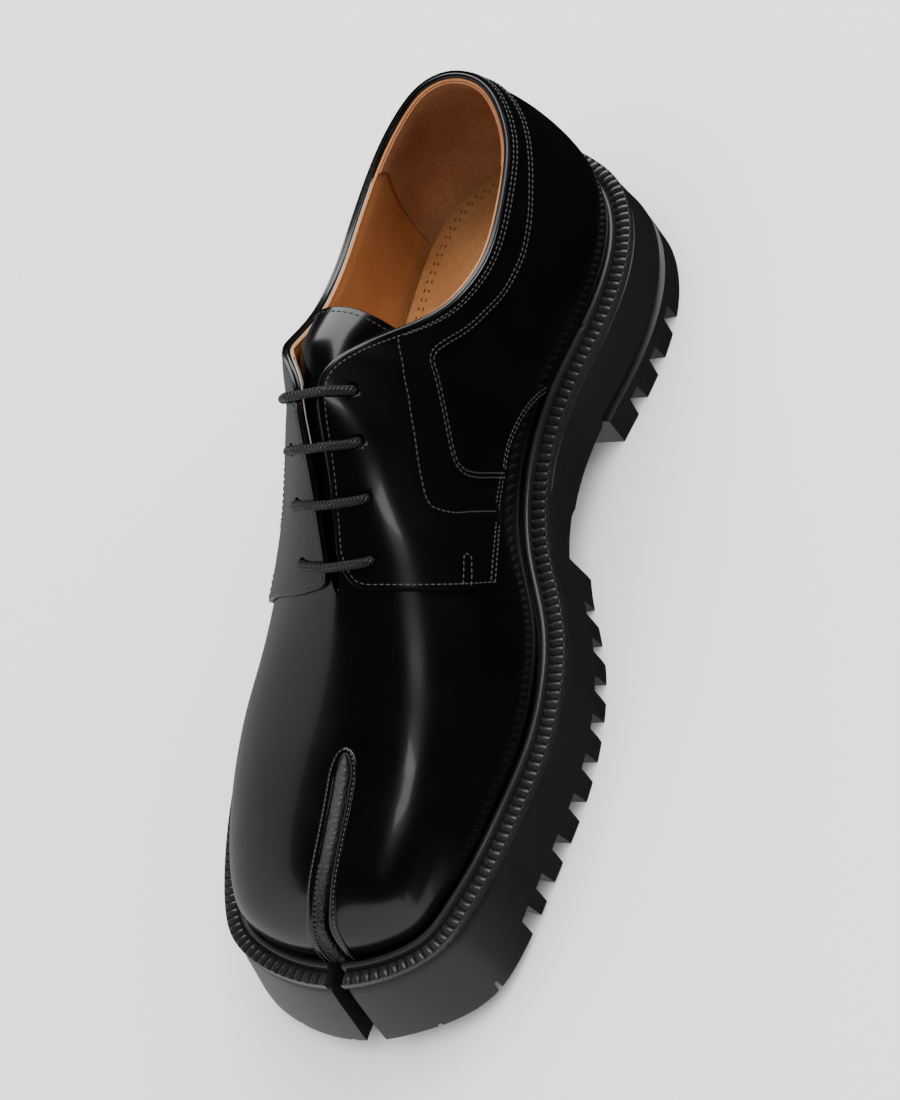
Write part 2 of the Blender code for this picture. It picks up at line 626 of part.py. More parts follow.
def build_laces(cord):
    for number, station in enumerate(LACE_STATIONS, 1):
        path = []
        over = OVERLAY_GAP + OVERLAY + GAP + LACE_RADIUS
        for side in (1, -1):
            share, rise = hole_spot(side, station)
            hole = on_upper(side, share, rise, 0.0)
            normal = upper_normal(side, share, rise)
            toward = on_upper(side, share, rise + 0.04, 0.0) - hole
            toward /= np.linalg.norm(toward)
            half = [hole + normal * 0.8, hole + normal * 1.9, hole + normal * (over - 0.5) + toward * 0.5,
                    hole + normal * (over + 0.2) + toward * 1.9]
            for part in (0.45, 0.75, 1.0):
                spot = rise + (1 - rise) * part
                half.append(on_upper(side, share, min(spot, 0.995), over + 0.25))
            path.append(half)
        points = path[0] + [(path[0][-1] + path[1][-1]) / 2] + path[1][::-1]
        curve = bpy.data.curves.new("lace_bar_%d" % number, "CURVE")
        curve.dimensions = "3D"
        curve.bevel_depth = LACE_RADIUS / 1000
        curve.bevel_resolution = 1
        curve.use_fill_caps = True
        spline = curve.splines.new("POLY")
        spline.points.add(len(points) - 1)
        for knot, point in zip(spline.points, place(points)):
            knot.co = (*point, 1.0)
        item = bpy.data.objects.new("lace_bar_%d" % number, curve)
        bpy.context.scene.collection.objects.link(item)
        select_only(item)
        bpy.ops.object.convert(target="MESH")
        item = bpy.context.active_object
        item.data.materials.clear()
        item.data.materials.append(cord)
        weld(item, 0.00001)
        face_out(item)


def build_tongue(leather):
    """Leaf under the throat, its sides tucked under the facings, its free end laid back into the collar."""
    depth = WALL + 0.7
    rows = []
    for part in np.linspace(0.02, 0.97, 8):
        halves = []
        for side in (1, -1):
            table = RIBS[side]
            share = table[5][0] + (table[7][0] - table[5][0]) * part
            halves.append(on_upper(side, share, np.array([0.66, 0.74, 0.82, 0.9, 0.96]), -depth))
        crown = (halves[0][-1] + halves[1][-1]) / 2 + np.array([0, 0, 0.5])
        rows.append(np.vstack([halves[0], crown, halves[1][::-1]]))
    for step, crown_height in ((0.025, 121.0), (0.05, 120.0), (0.07, 118.4)):
        halves = []
        for side in (1, -1):
            share = RIBS[side][7][0] + step
            halves.append(on_upper(side, share, np.array([0.66, 0.8, 0.94]), -depth - 0.6))
        a, b = halves[0][-1], halves[1][-1]
        arch = []
        for part in np.linspace(0, 1, 7)[1:-1]:
            point = a + (b - a) * part
            rise = 1 - abs(2 * part - 1) ** 2.6
            arch.append([point[0], point[1], point[2] + (crown_height - (a[2] + b[2]) / 2) * rise])
        rows.append(np.vstack([halves[0], arch, halves[1][::-1]]))
    grid = np.array(rows)
    item = add_mesh("tongue", grid.reshape(-1, 3), grid_faces(grid.shape[0], grid.shape[1], 0, True), leather)
    face_out(item)
    apply_modifier(item, "SOLIDIFY", thickness=2.0 / 1000, offset=-1.0, use_even_offset=True)
    face_out(item)
    return item


def build_insole(lining):
    shares = station_shares([])
    inner, outer = WELT_REACH + 0.5, FEATHER_INSET + WALL + 1.8
    rings = []
    for inset, rise in ((inner, -WELT_THICK), (inner, 0.2), (outer, 0.2), (outer, 6.0)):
        flat = ring(inset, shares)
        rings.append(with_height(flat, welt_top(flat[:, 1]) + rise))
    item = stack_rings("insole", rings, lining)
    cut(item, [split_cutter(250.0, 7.0, 6.0, 0.0, 80.0)])
    return item


def build_gusset(leather):
    """Channel that closes the split: raised rims beside the vamp's edges and a folded floor between."""
    stations = np.array([241.6, 246, 252, 258, 264, 270, 276, 281, 285, 288, 290.2])
    heights = np.array([float(np.interp(y, [238, 257, 273, 284.5, 288.5, 291.5], [68.2, 62.8, 58.0, 50.6, 45.0, 38.6]))
                        for y in stations])
    slope = np.gradient(heights, stations)
    rings = []
    for station, height, lean in zip(stations, heights, slope):
        up = np.array([0.0, -lean, 1.0]) / math.hypot(lean, 1.0)
        half = float(opening_half(station)) - 2 * GAP
        half = max(half, 1.3)
        deep = min(7.0, max(2.0, (height - float(welt_top(station))) * 0.45))
        section = [(-half, 1.1), (-half, -deep), (0.0, -deep - 1.2), (half, -deep), (half, 1.1), (half - 1.2, 1.1),
                   (half - 1.2, -deep + 0.9), (0.0, -deep), (-half + 1.2, -deep + 0.9), (-half + 1.2, 1.1)]
        center = np.array([float(middle(station)), station, height])
        rings.append([center + np.array([x, 0, 0]) + up * z for x, z in section])
    size = len(rings[0])
    faces = []
    for i in range(len(rings) - 1):
        for j in range(size):
            k = (j + 1) % size
            faces.append((i * size + j, i * size + k, (i + 1) * size + k, (i + 1) * size + j))
    last = (len(rings) - 1) * size
    for base in (0, last):
        faces.append((base, base + 1, base + 8, base + 9))
        faces.append((base + 1, base + 2, base + 7, base + 8))
        faces.append((base + 2, base + 3, base + 6, base + 7))
        faces.append((base + 3, base + 4, base + 5, base + 6))
    item = add_mesh("split_gusset", np.vstack(rings), faces, leather)
    face_out(item)
    return item


def main():
    clear_scene()
    rubber = make_material("black_rubber", (0.012, 0.012, 0.013), 0.5)
    welting = make_material("black_welt", (0.012, 0.012, 0.013), 0.4)
    leather = make_material("black_polished_leather", (0.010, 0.010, 0.012), 0.15)
    soft = make_material("black_soft_leather", (0.012, 0.012, 0.012), 0.45)
    lining = make_material("tan_leather", (0.52, 0.30, 0.14), 0.6)
    cord = make_material("black_waxed_cord", (0.012, 0.012, 0.012), 0.5)
    build_outsole(rubber)
    build_heel(rubber)
    build_welt(welting)
    build_insole(lining)
    build_upper(leather)
    build_quarter("quarter_medial", 1, leather)
    build_quarter("quarter_lateral", -1, leather)
    build_tongue(leather)
    build_gusset(soft)
    build_laces(cord)


main()
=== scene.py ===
"""Looks of one split-toe derby, the right shoe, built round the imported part.

Sizes are in millimetres along the shoe: offset to the medial side, station from heel to toe, height
above the floor. A place on the upper is a share along the foot line and a rise up to the top edge.
"""
import math

import bpy
import numpy as np
from mathutils import Matrix, Vector


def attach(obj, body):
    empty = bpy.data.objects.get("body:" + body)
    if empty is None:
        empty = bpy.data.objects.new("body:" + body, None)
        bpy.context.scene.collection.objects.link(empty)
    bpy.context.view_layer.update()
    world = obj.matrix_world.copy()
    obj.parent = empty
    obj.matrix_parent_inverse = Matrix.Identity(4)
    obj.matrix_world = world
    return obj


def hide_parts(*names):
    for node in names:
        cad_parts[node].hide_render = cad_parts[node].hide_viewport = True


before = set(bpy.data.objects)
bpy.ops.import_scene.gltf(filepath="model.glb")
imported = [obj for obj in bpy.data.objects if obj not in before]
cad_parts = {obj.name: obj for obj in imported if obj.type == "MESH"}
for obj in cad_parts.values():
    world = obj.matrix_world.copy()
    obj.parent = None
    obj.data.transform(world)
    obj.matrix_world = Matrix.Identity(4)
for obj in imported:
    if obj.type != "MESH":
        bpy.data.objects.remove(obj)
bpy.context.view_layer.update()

# driving sizes of the shoe, the same as the part's
SOLE_LENGTH = 300.0
AXIS_SHIFT = 4.92
GAP = 0.35
WELT_THICK = 3.4
FEATHER_INSET = 8.0
WALL = 2.2
LUG_DEPTH = 8.0
CHANNEL_DEPTH = LUG_DEPTH - 0.4
SLIT_DEPTH = 3.5
HEEL_TOP = 15.8
HEEL_FRONT = 95.0
WAIST_BOTTOM = 14.5
SOLE_FLARE = 1.6
# extra flare of the low edge at the toe on each side, and the stations where it sets in and is full
TOE_FLARE = {1: 2.2, -1: 4.2}
TOE_FLARE_RUN = (248.0, 284.0)
SPLIT_END = 238.0
SPLIT_HALF = 3.0
THROAT = 196.0
LACE_RADIUS = 1.4
HOLE_RADIUS = 2.1
HOLE_INSET = 9.6
# half width of the throat at its foot, and how much it gains over a run towards the collar
THROAT_HALF = 1.9
THROAT_GAIN = 2.0
THROAT_GAIN_FROM = 190.0
THROAT_GAIN_RUN = 52.0
# length in which the split and the throat come to their full width
SPLIT_RUNOUT = 6.0
THROAT_RUNOUT = 7.0
# stations between which the leather below the edges comes to follow each opening
SOFT_SPLIT = (222.0, 272.0)
SOFT_THROAT = (212.0, 172.0)
VAMP_MIDDLE = 217.0
# share on either side of the throat's corner in which the throat edge turns into the topline
CORNER_FADE = 0.03
# leather thicknesses and how far each layer lies from the last
VAMP_WALL = 1.6
OVERLAY_LIFT = 0.3
OVERLAY_WALL = 1.3
OVERLAY_TOP = OVERLAY_LIFT + OVERLAY_WALL
COUNTER_LIFT = 0.05
COUNTER_WALL = 0.75
LINING_LIFT = -1.75
LINING_WALL = 0.8
# share where the lining begins under the facings, and where it comes up to the edge on each side
LINING_FRONT = 0.372
LINING_STARTS = {1: 0.55, -1: 0.485}
GRIP_LIFT = -2.65
GRIP_WALL = 0.5
# share where the heel grip begins
GRIP_FRONT = 0.846
TONGUE_WALL = 2.0
TONGUE_DEPTH = WALL + 0.7
KID_WALL = 0.9
SOCK_RISE = 6.0
# stitching
STITCH_PITCH = 1.9
STITCH_LENGTH = 1.45
THREAD = 0.4
ROW_APART = 1.45
EDGE_ROW = 1.6
# pitch, length and thickness of the other rows
RIM_STITCH = (1.5, 1.1, 0.42)
LINING_STITCH = (2.4, 1.4, 0.4)
SOCK_STITCH = (3.4, 1.3, 0.6)
# insets of the sock's two rows, and the station where they end
SOCK_ROWS = (15.6, 17.3)
SOCK_ROWS_END = 118
# welding distances in metres: fine for swept pieces, wider where two halves meet
FINE_WELD = 1e-6
SEAM_WELD = 0.00002

# station, medial half width, lateral half width of the welt
OUTLINE_ROWS = [
    (10, 21.4, 19.6), (22, 34.3, 31.4), (45, 42.0, 38.8), (75, 39.2, 41.2), (100, 32.2, 42.2),
    (125, 29.6, 43.4), (150, 34.1, 48.2), (175, 44.2, 55.1), (200, 48.6, 58.6), (220, 48.2, 58.2),
    (240, 45.2, 55.2), (258, 42.0, 50.4), (275, 37.2, 43.8), (288, 29.8, 33.2)]
# station, height of the welt's top
WELT_ROWS = [
    (0, 36.0), (40, 36.8), (80, 36.6), (110, 34.0), (140, 30.6), (170, 28.5), (205, 28.2), (235, 30.0),
    (265, 33.8), (300, 39.5)]
# station, height of the tread's face
TREAD_ROWS = [(0, 0), (215, 0), (240, 0.8), (260, 2.1), (280, 4.4), (300, 8.4)]
# station, side offset of the middle line of the vamp and the throat
MIDDLE_ROWS = [
    (0, 0), (15, 0), (100, -1.6), (138, -3.8), (165, -0.8), (196, 2.4), (222, 5.6), (238, 7.0),
    (300, 2.0)]
# station of the foot point, station, height and half width of the top point, wall share, side bulge, slant
MEDIAL_RIBS = [
    (None, 285.4, 55.4, 0.0, 0.0, 0.0, 1.0), (286, 276.5, 60.6, 0.0, 0.0, 0.5, 1.0),
    (265, 260.0, 64.8, 0.0, 0.0, 1.0, 1.0), (238, 238.0, 69.8, 0.0, 0.0, 1.5, 1.0),
    (220, 220.0, 76.6, 0.0, 0.0, 1.5, 1.0), (196, 196.0, 88.0, 0.0, 0.05, 1.8, 1.0),
    (168, 168.0, 105.0, 3.4, 0.25, 4.0, 1.0), (136, 139.5, 123.0, 6.6, 0.5, 5.5, 1.0),
    (119, 122.0, 111.0, 14.2, 0.7, 4.4, 1.0), (101, 104.0, 97.0, 22.8, 0.88, 3.0, 1.0),
    (74, 77.0, 90.0, 27.0, 1.0, 1.5, 1.0), (44, 47.0, 91.0, 25.0, 1.0, 2.8, 1.0),
    (20, 26.0, 93.6, 16.6, 1.0, 4.8, 1.0), (12.5, 18.6, 95.0, 9.4, 1.0, 5.2, 1.0),
    (None, 15.6, 95.5, 0.0, 1.0, 5.2, 1.0)]
LATERAL_RIBS = [
    (None, 285.4, 55.4, 0.0, 0.0, 0.0, 1.0), (286, 276.5, 60.6, 0.0, 0.0, 1.6, 0.98),
    (265, 260.0, 64.8, 0.0, 0.0, 2.8, 0.95), (238, 238.0, 69.8, 0.0, 0.0, 2.6, 1.0),
    (220, 220.0, 76.6, 0.0, 0.0, 1.6, 1.07), (196, 196.0, 88.0, 0.0, 0.05, 0.6, 1.27),
    (168, 168.0, 105.0, 3.4, 0.2, 1.0, 1.4), (134, 137.0, 122.5, 10.8, 0.45, 1.2, 1.36),
    (116, 119.0, 110.0, 16.0, 0.65, 1.0, 1.2), (98, 101.0, 97.5, 21.2, 0.85, 1.4, 1.0),
    (72, 74.0, 90.0, 24.2, 1.0, 1.5, 1.0), (44, 46.0, 91.0, 22.0, 1.0, 2.4, 1.0),
    (20, 26.0, 93.6, 15.0, 1.0, 4.2, 1.0), (12.5, 18.6, 95.0, 8.8, 1.0, 5.0, 1.0),
    (None, 15.6, 95.5, 0.0, 1.0, 5.2, 1.0)]
# columns of a rib after its foot point, and the ribs at the split's end, the throat's foot and its corner
TOP_STATION, TOP_HEIGHT, TOP_HALF, WALL_SHARE, BULGE, SLANT = range(1, 7)
SPLIT_RIB, THROAT_RIB, CORNER_RIB = 3, 5, 7
# edge of the quarter: share along the foot line and rise of the lower edge, share along the top edge
QUARTER_ROWS = [
    (0.395, 0.311, 0.380), (0.4173, 0.295, 0.392), (0.4488, 0.260, 0.412), (0.478, 0.224, 0.434),
    (0.494, 0.238, 0.452), (0.5015, 0.300, 0.466), (0.5030, 0.360, 0.479), (0.5040, 0.400, 0.490),
    (0.508, 0.425, 0.502), (0.532, 0.456, 0.524), (0.563, 0.536, 0.551), (0.584, 0.628, 0.574),
    (0.602, 0.730, 0.597), (0.612, 0.757, 0.610), (0.630, 0.770, 0.630), (0.660, 0.768, 0.661),
    (0.700, 0.744, 0.702), (0.7467, 0.742, 0.747), (0.7857, 0.769, 0.786), (0.8273, 0.816, 0.827),
    (0.8646, 0.838, 0.865), (0.930, 0.845, 0.930), (1.0, 0.848, 1.0)]
# front edge of each quarter from its low corner to the round corner at the throat: share across, share, rise
FRONT_EDGES = {
    1: [(0.0, 0.395, 0.311), (0.17, 0.3796, 0.424), (0.34, 0.3666, 0.546), (0.5, 0.3578, 0.661),
        (0.66, 0.3516, 0.781), (0.78, 0.3491, 0.870), (0.85, 0.3515, 0.920), (0.91, 0.3585, 0.957),
        (0.96, 0.368, 0.985), (1.0, 0.380, 1.0)],
    -1: [(0.0, 0.395, 0.311), (0.17, 0.3796, 0.430), (0.34, 0.3670, 0.560), (0.52, 0.3558, 0.688),
         (0.62, 0.3513, 0.763), (0.72, 0.3496, 0.835), (0.80, 0.3496, 0.893), (0.88, 0.3515, 0.942),
         (0.94, 0.3565, 0.977), (1.0, 0.367, 1.0)]}
# front edge of the back panel: rise, share
COUNTER_ROWS = [
    (0.02, 0.672), (0.06, 0.660), (0.10, 0.645), (0.14, 0.632), (0.165, 0.605), (0.172, 0.570),
    (0.18, 0.535), (0.23, 0.524), (0.30, 0.509), (0.36, 0.499), (0.41, 0.496), (0.445, 0.508),
    (0.47, 0.528), (0.55, 0.556), (0.64, 0.577), (0.74, 0.596), (0.90, 0.620)]
# stitched lines of the quarter and the back panel: share, rise
SEAM_LINE = [
    (0.397, 0.329), (0.4173, 0.315), (0.4488, 0.280), (0.483, 0.237), (0.5194, 0.202), (0.540, 0.190)]
BACK_SEAM_LINE = [
    (0.5454, 0.181), (0.5746, 0.188), (0.6079, 0.178), (0.6300, 0.155), (0.6480, 0.110), (0.662, 0.055)]
PANEL_LINE = [
    (0.5384, 0.195), (0.5209, 0.275), (0.5096, 0.328), (0.5025, 0.372), (0.4995, 0.402), (0.5008, 0.426),
    (0.5071, 0.440), (0.5299, 0.471), (0.5449, 0.502), (0.5603, 0.551), (0.5806, 0.643), (0.6001, 0.751)]
BAND_LINE = [
    (0.6001, 0.751), (0.6100, 0.774), (0.6298, 0.786), (0.6635, 0.784), (0.7053, 0.760), (0.7467, 0.758),
    (0.7857, 0.785), (0.8273, 0.832), (0.8646, 0.854), (0.930, 0.861), (0.998, 0.864)]
FACING_LINE = [
    (0.599, 0.950), (0.5709, 0.778), (0.5351, 0.648), (0.4989, 0.612), (0.4629, 0.607), (0.4430, 0.598),
    (0.4368, 0.572), (0.4391, 0.519), (0.4576, 0.386), (0.4817, 0.253)]
TACK_LINE = [
    (0.378, 0.462), (0.392, 0.461), (0.404, 0.458), (0.4085, 0.442), (0.408, 0.427), (0.395, 0.426),
    (0.381, 0.428)]
LACE_STATIONS = [144.0, 157.2, 171.0, 186.6]
# gap between two lugs: outer station, outer offset, inner station, inner offset
FOREFOOT_GAPS = [
    (264, 52, 254, 6), (252.6, 56, 246.5, 9.5), (238.8, 58, 236, 12.5), (224.6, 60, 223.6, 13.5),
    (211.2, 60, 211, 14), (197.6, 60, 198, 13), (184.6, 58, 186.2, 11.5), (170.8, 54, 174.4, 8),
    (157.2, 52, 163, 6), (266, -62, 243.5, -11), (253.5, -64, 236.2, -13), (241.6, -68, 227, -15),
    (228.6, -70, 215.6, -17), (214.6, -72, 203.6, -17.5), (200, -72, 190.4, -18), (184, -70, 176.2, -18),
    (169, -66, 163, -17), (154.6, -62, 151.5, -17)]
HEEL_GAPS = [
    (82, 50, 82, 9), (67, 52, 69, 9), (51, 54, 56, 9), (81, -54, 80, -10), (67, -54, 66, -10),
    (53, -54, 53, -11), (38, -52, 43, -11)]
# narrow slits of the toe fan and the heel fan: outer station, outer offset, inner station, inner offset
TOE_SLITS = [
    (304, 25, 267, 8.5), (290, 45, 260, 9), (308, -6, 259, -2.6), (302, -26, 257, -7.5),
    (290, -48, 254, -12)]
HEEL_SLITS = [(6, 42, 46, 9), (-8, 7, 37, 3.5), (-6, -14, 37, -4.5), (10, -44, 42, -10)]
# outer and inner width of the gaps and the slits, and how much a gap widens towards the floor
LUG_GAP = (5.6, 3.4)
HEEL_GAP = (5.4, 3.4)
GAP_LEAN = 1.3
TOE_SLIT = (1.5, 1.1)
HEEL_SLIT = (1.5, 1.3)
# middle channel of the tread, station and offset
CHANNEL = [
    (257, 3.5), (248, 9), (238.5, 12.5), (228, 13.5), (216, 14.5), (202, 13.5), (189, 12.5), (175, 8.5),
    (150, 4), (120, 4), (120, -17), (150, -17.5), (176, -18.5), (190, -18.5), (204, -18), (216, -17.5),
    (227, -15.5), (237, -13.5), (247, -10), (256, -4)]
HEEL_CHANNEL = [(110, 9.3), (56, 9.6), (47, 7.5), (43, 0), (46, -8), (54, -11), (110, -10.5)]
STUDS = [
    (243.2, -1.8), (231.2, -8.2), (221.2, 2.6), (212.4, -10.4), (201.4, 1.0), (185, -7.4), (165.5, -5.2)]
HEEL_STUDS = [(84.5, -0.6), (65, -1.4)]
STUD_OUTER = 6.6
STUD_INNER = 3.4
STUD_FLARE = 0.8
STUD_TURN = 20
# rear edge of the forefoot tread, station and offset
WAIST_PLAN = [
    (97, 70), (145.5, 70), (144.5, 36), (153, 6), (151, 2), (150, -14), (146, -17), (141, -20),
    (138.5, -70), (97, -70)]
# slit of the toe through the sole and the sock: inner station, half width at the tip and at its inner end
SOLE_SLIT = (256.0, 3.4, 1.7)
SOCK_SLIT = (250.0, 7.0, 6.0)
# heights well below the floor and above the shoe, between which a tool reaches right through
BELOW = -8.0
ABOVE = 80.0
# section of the welt: inset from the edge, rise above its underside, share of the rib's depth
WELT_SECTION = [
    (0.2, 0.0, 0.0), (0.0, 0.4, 0.0), (0.0, 2.9, 0.0), (0.05, 3.25, 0.1), (0.2, 3.42, 0.2),
    (0.42, 3.4, 0.5), (0.6, 3.5, 0.9), (0.9, 3.65, 1.0), (1.5, 3.8, 1.0), (2.1, 3.88, 1.0),
    (2.7, 3.9, 1.0), (3.3, 3.85, 1.0), (3.8, 3.75, 1.0), (4.2, 3.5, 1.0), (4.5, 3.1, 0.8),
    (4.75, 2.6, 0.3), (4.9, 2.45, 0.0), (5.0, 3.3, 0.0), (5.12, 4.3, 0.0), (5.35, 4.95, 0.0),
    (5.75, 5.3, 0.0), (6.3, 5.36, 0.0), (6.8, 5.15, 0.0), (7.1, 4.6, 0.0), (7.22, 3.4, 0.0),
    (7.25, 2.9, 0.0), (9.6, 2.9, 0.0), (9.6, 0.0, 0.0)]
RIB_PITCH = 3.05
RIB_DEPTH = 1.1
RIB_STEPS = 10
WELT_JOINT = 77.0
WELT_SLIT_MIDDLE = 2.0
WELT_SLIT_HALF = 2.6
# section of the split's rim: across, up
RIM_SECTION = [
    (1.8, -0.5), (1.85, 0.25), (1.7, 0.55), (1.3, 0.72), (0.7, 0.76), (0.1, 0.68), (-0.25, 0.45),
    (-0.45, 0.1), (-0.5, -0.6), (-0.3, -1.3), (0.9, -1.0)]

# smooth lines through short tables


def ease(t):
    t = np.clip(t, 0, 1)
    return t * t * (3 - 2 * t)


def unit(vectors):
    return vectors / np.linalg.norm(vectors, axis=-1)[..., None]


def run_along(points):
    """Length from the first point of a line to each of its points."""
    return np.r_[0, np.cumsum(np.linalg.norm(np.diff(points, axis=0), axis=1))]


def take(table, length, spots):
    """Points of a line at these lengths along it."""
    return np.stack([np.interp(spots, length, column) for column in table.T], -1)


def hermite(t, start, end, step, leaving, arriving):
    """Cubic from one point to the next with a tangent at either end."""
    first = (1 + 2 * t) * (1 - t) ** 2 * start + t * (1 - t) ** 2 * step * leaving
    return first + t * t * (3 - 2 * t) * end + t * t * (t - 1) * step * arriving


def pchip(x, y, where, level_end=False):
    """Shape-keeping cubic through a table's column."""
    step = np.diff(x)
    slope = np.diff(y) / step
    tangent = np.zeros(len(x))
    for i in range(1, len(x) - 1):
        if slope[i - 1] * slope[i] > 0:
            left, right = 2 * step[i] + step[i - 1], step[i] + 2 * step[i - 1]
            tangent[i] = (left + right) / (left / slope[i - 1] + right / slope[i])
    tangent[0], tangent[-1] = slope[0], 0.0 if level_end else slope[-1]
    i = np.clip(np.searchsorted(x, where, side="right") - 1, 0, len(x) - 2)
    return hermite((where - x[i]) / step[i], y[i], y[i + 1], step[i], tangent[i], tangent[i + 1])


def blur(values, sigma, level_end=False):
    """Gaussian smoothing along the first axis that keeps both ends, so a polished face shows no kinks."""
    reach = int(4 * sigma)
    kernel = np.exp(-0.5 * (np.arange(-reach, reach + 1) / sigma) ** 2)
    kernel /= kernel.sum()
    head = 2 * values[:1] - values[reach:0:-1]
    tail = values[-2:-reach - 2:-1] if level_end else 2 * values[-1:] - values[-2:-reach - 2:-1]
    full = np.concatenate([head, values, tail])
    columns = full.reshape(len(full), -1)
    out = np.stack([np.convolve(column, kernel, "valid") for column in columns.T], 1)
    return out.reshape(values.shape)


CURVES = {}
CURVE_POINTS = 1601
CURVE_BLUR = 28


def smooth(rows, column, where, level_end=False):
    """A table's column at any place between its rows, on a blurred curve that is worked out once."""
    key = (id(rows), column, level_end)
    if key not in CURVES:
        table = np.array([[row[0], row[column]] for row in rows], float)
        dense = np.linspace(table[0, 0], table[-1, 0], CURVE_POINTS)
        CURVES[key] = dense, blur(pchip(table[:, 0], table[:, 1], dense, level_end), CURVE_BLUR, level_end)
    return np.interp(where, *CURVES[key])


def welt_top(station):
    return smooth(WELT_ROWS, 1, station)


def tread_face(station):
    return smooth(TREAD_ROWS, 1, station)


def middle(station):
    return smooth(MIDDLE_ROWS, 1, station)


def closed_spline(points, per_span):
    """Smooth closed curve through a few points."""
    pts = np.asarray(points, float)
    count = len(pts)
    step = np.linalg.norm(np.roll(pts, -1, 0) - pts, axis=1) ** 0.5
    matrix = np.zeros((count, count))
    right = np.zeros((count, 2))
    for i in range(count):
        before, after, nxt = step[i - 1], step[i], (i + 1) % count
        matrix[i, i - 1] += after
        matrix[i, i] += 2 * (before + after)
        matrix[i, nxt] += before
        right[i] = 3 * (after / before * (pts[i] - pts[i - 1]) + before / after * (pts[nxt] - pts[i]))
    tangent = np.linalg.solve(matrix, right)
    t = np.linspace(0, 1, per_span, endpoint=False)[:, None]
    following = np.roll(np.arange(count), -1)
    return np.vstack([hermite(t, pts[i], pts[j], step[i], tangent[i], tangent[j])
                      for i, j in enumerate(following)])


def outline_curve(per_span):
    toe, heel = (0.5, SOLE_LENGTH - 1.4), (1.0, 2.0)
    medial = [(row[1], row[0]) for row in reversed(OUTLINE_ROWS)]
    lateral = [(-row[2], row[0]) for row in OUTLINE_ROWS]
    return closed_spline([toe] + medial + [heel] + lateral, per_span)


OUTLINE = outline_curve(24)


def inward_of(curve):
    ahead = unit(np.roll(curve, -1, 0) - np.roll(curve, 1, 0))
    return np.stack([ahead[:, 1], -ahead[:, 0]], 1)


def inset_halves(inset):
    """Medial and lateral halves of the outline moved inwards, each from the toe to the heel."""
    curve = OUTLINE + inset * inward_of(OUTLINE)
    toe, heel = int(curve[:, 1].argmax()), int(curve[:, 1].argmin())
    curve = np.roll(curve, -toe, 0)
    heel = (heel - toe) % len(curve)
    return curve[:heel + 1], np.vstack([curve[heel:], curve[:1]])[::-1]


def at_stations(half, stations):
    """Points of one half of an outline at these stations."""
    return np.stack([np.interp(stations, half[::-1, 1], half[::-1, 0]), stations], 1)


def ring(inset, shares):
    """Closed ring of points: toe, medial side, heel, lateral side, at the same stations on both sides."""
    medial, lateral = inset_halves(inset)
    low, high = medial[-1, 1], medial[0, 1]
    stations = high - (high - low) * np.asarray(shares)
    return np.vstack([at_stations(medial, stations), at_stations(lateral, stations)[-2:0:-1]])


def place(points):
    """From offset, station and height in millimetres to the part's frame in metres."""
    pts = np.asarray(points, float).reshape(-1, 3)
    return np.stack([pts[:, 0] + AXIS_SHIFT, SOLE_LENGTH / 2 - pts[:, 1], pts[:, 2]], 1) / 1000.0


def turned(directions):
    """Directions from the shoe's own measures to the part's frame."""
    return np.asarray(directions, float) * np.array([1.0, -1.0, 1.0])


# how pieces are made: a primitive, edit mode, modifiers that are applied


def pick(*items):
    bpy.ops.object.select_all(action="DESELECT")
    for item in items:
        item.select_set(True)
    bpy.context.view_layer.objects.active = items[0]


def primitive(add, **settings):
    bpy.ops.object.select_all(action="DESELECT")
    add(**settings)
    return bpy.context.active_object


def named(item, name):
    item.name = item.data.name = name
    return item


def in_edit(item, select, *steps):
    pick(item)
    bpy.ops.object.mode_set(mode="EDIT")
    bpy.ops.mesh.select_all(action=select)
    for step, settings in steps:
        step(**settings)
    bpy.ops.object.mode_set(mode="OBJECT")


def weld(item, distance):
    in_edit(item, "SELECT", (bpy.ops.mesh.remove_doubles, {"threshold": distance}))


def face_out(item):
    in_edit(item, "SELECT", (bpy.ops.mesh.normals_make_consistent, {"inside": False}))


def close_ends(item):
    """Faces over the open ends of a piece carried along a path."""
    in_edit(item, "DESELECT", (bpy.ops.mesh.select_non_manifold, {}), (bpy.ops.mesh.edge_face_add, {}))
    face_out(item)


def apply_modifier(item, kind, **settings):
    modifier = item.modifiers.new(kind.title(), kind)
    for key, value in settings.items():
        setattr(modifier, key, value)
    pick(item)
    bpy.ops.object.modifier_apply(modifier=modifier.name)


def thicken(item, wall, outward):
    offset = 1.0 if outward else -1.0
    apply_modifier(item, "SOLIDIFY", thickness=wall / 1000, offset=offset, use_even_offset=True)


def round_edges(item, width, angle=50, segments=2):
    apply_modifier(item, "BEVEL", width=width / 1000, segments=segments, limit_method="ANGLE",
                   angle_limit=math.radians(angle), use_clamp_overlap=True, harden_normals=False)


def cut(item, tools):
    tool = join(tools) if len(tools) > 1 else tools[0]
    apply_modifier(item, "BOOLEAN", object=tool, operation="DIFFERENCE", solver="EXACT")
    bpy.data.objects.remove(tool, do_unlink=True)


def shade(item, angle):
    pick(item)
    bpy.ops.object.shade_smooth_by_angle(angle=math.radians(angle))


def join(items):
    pick(*items)
    bpy.ops.object.join()
    return bpy.context.active_object


def welded(name, items, distance):
    """Several meshes made one, their touching edges welded."""
    item = named(join(items), name)
    weld(item, distance)
    return item


def move_points(item, points):
    item.data.vertices.foreach_set("co", np.asarray(points, np.float32).ravel())
    item.data.update()


def shaped_grid(name, points):
    """Grid primitive whose points are moved to their place on the shoe."""
    rows, columns = points.shape[:2]
    item = primitive(bpy.ops.mesh.primitive_grid_add, x_subdivisions=columns - 1,
                     y_subdivisions=rows - 1, size=1.0)
    move_points(item, place(points))
    return named(item, name)


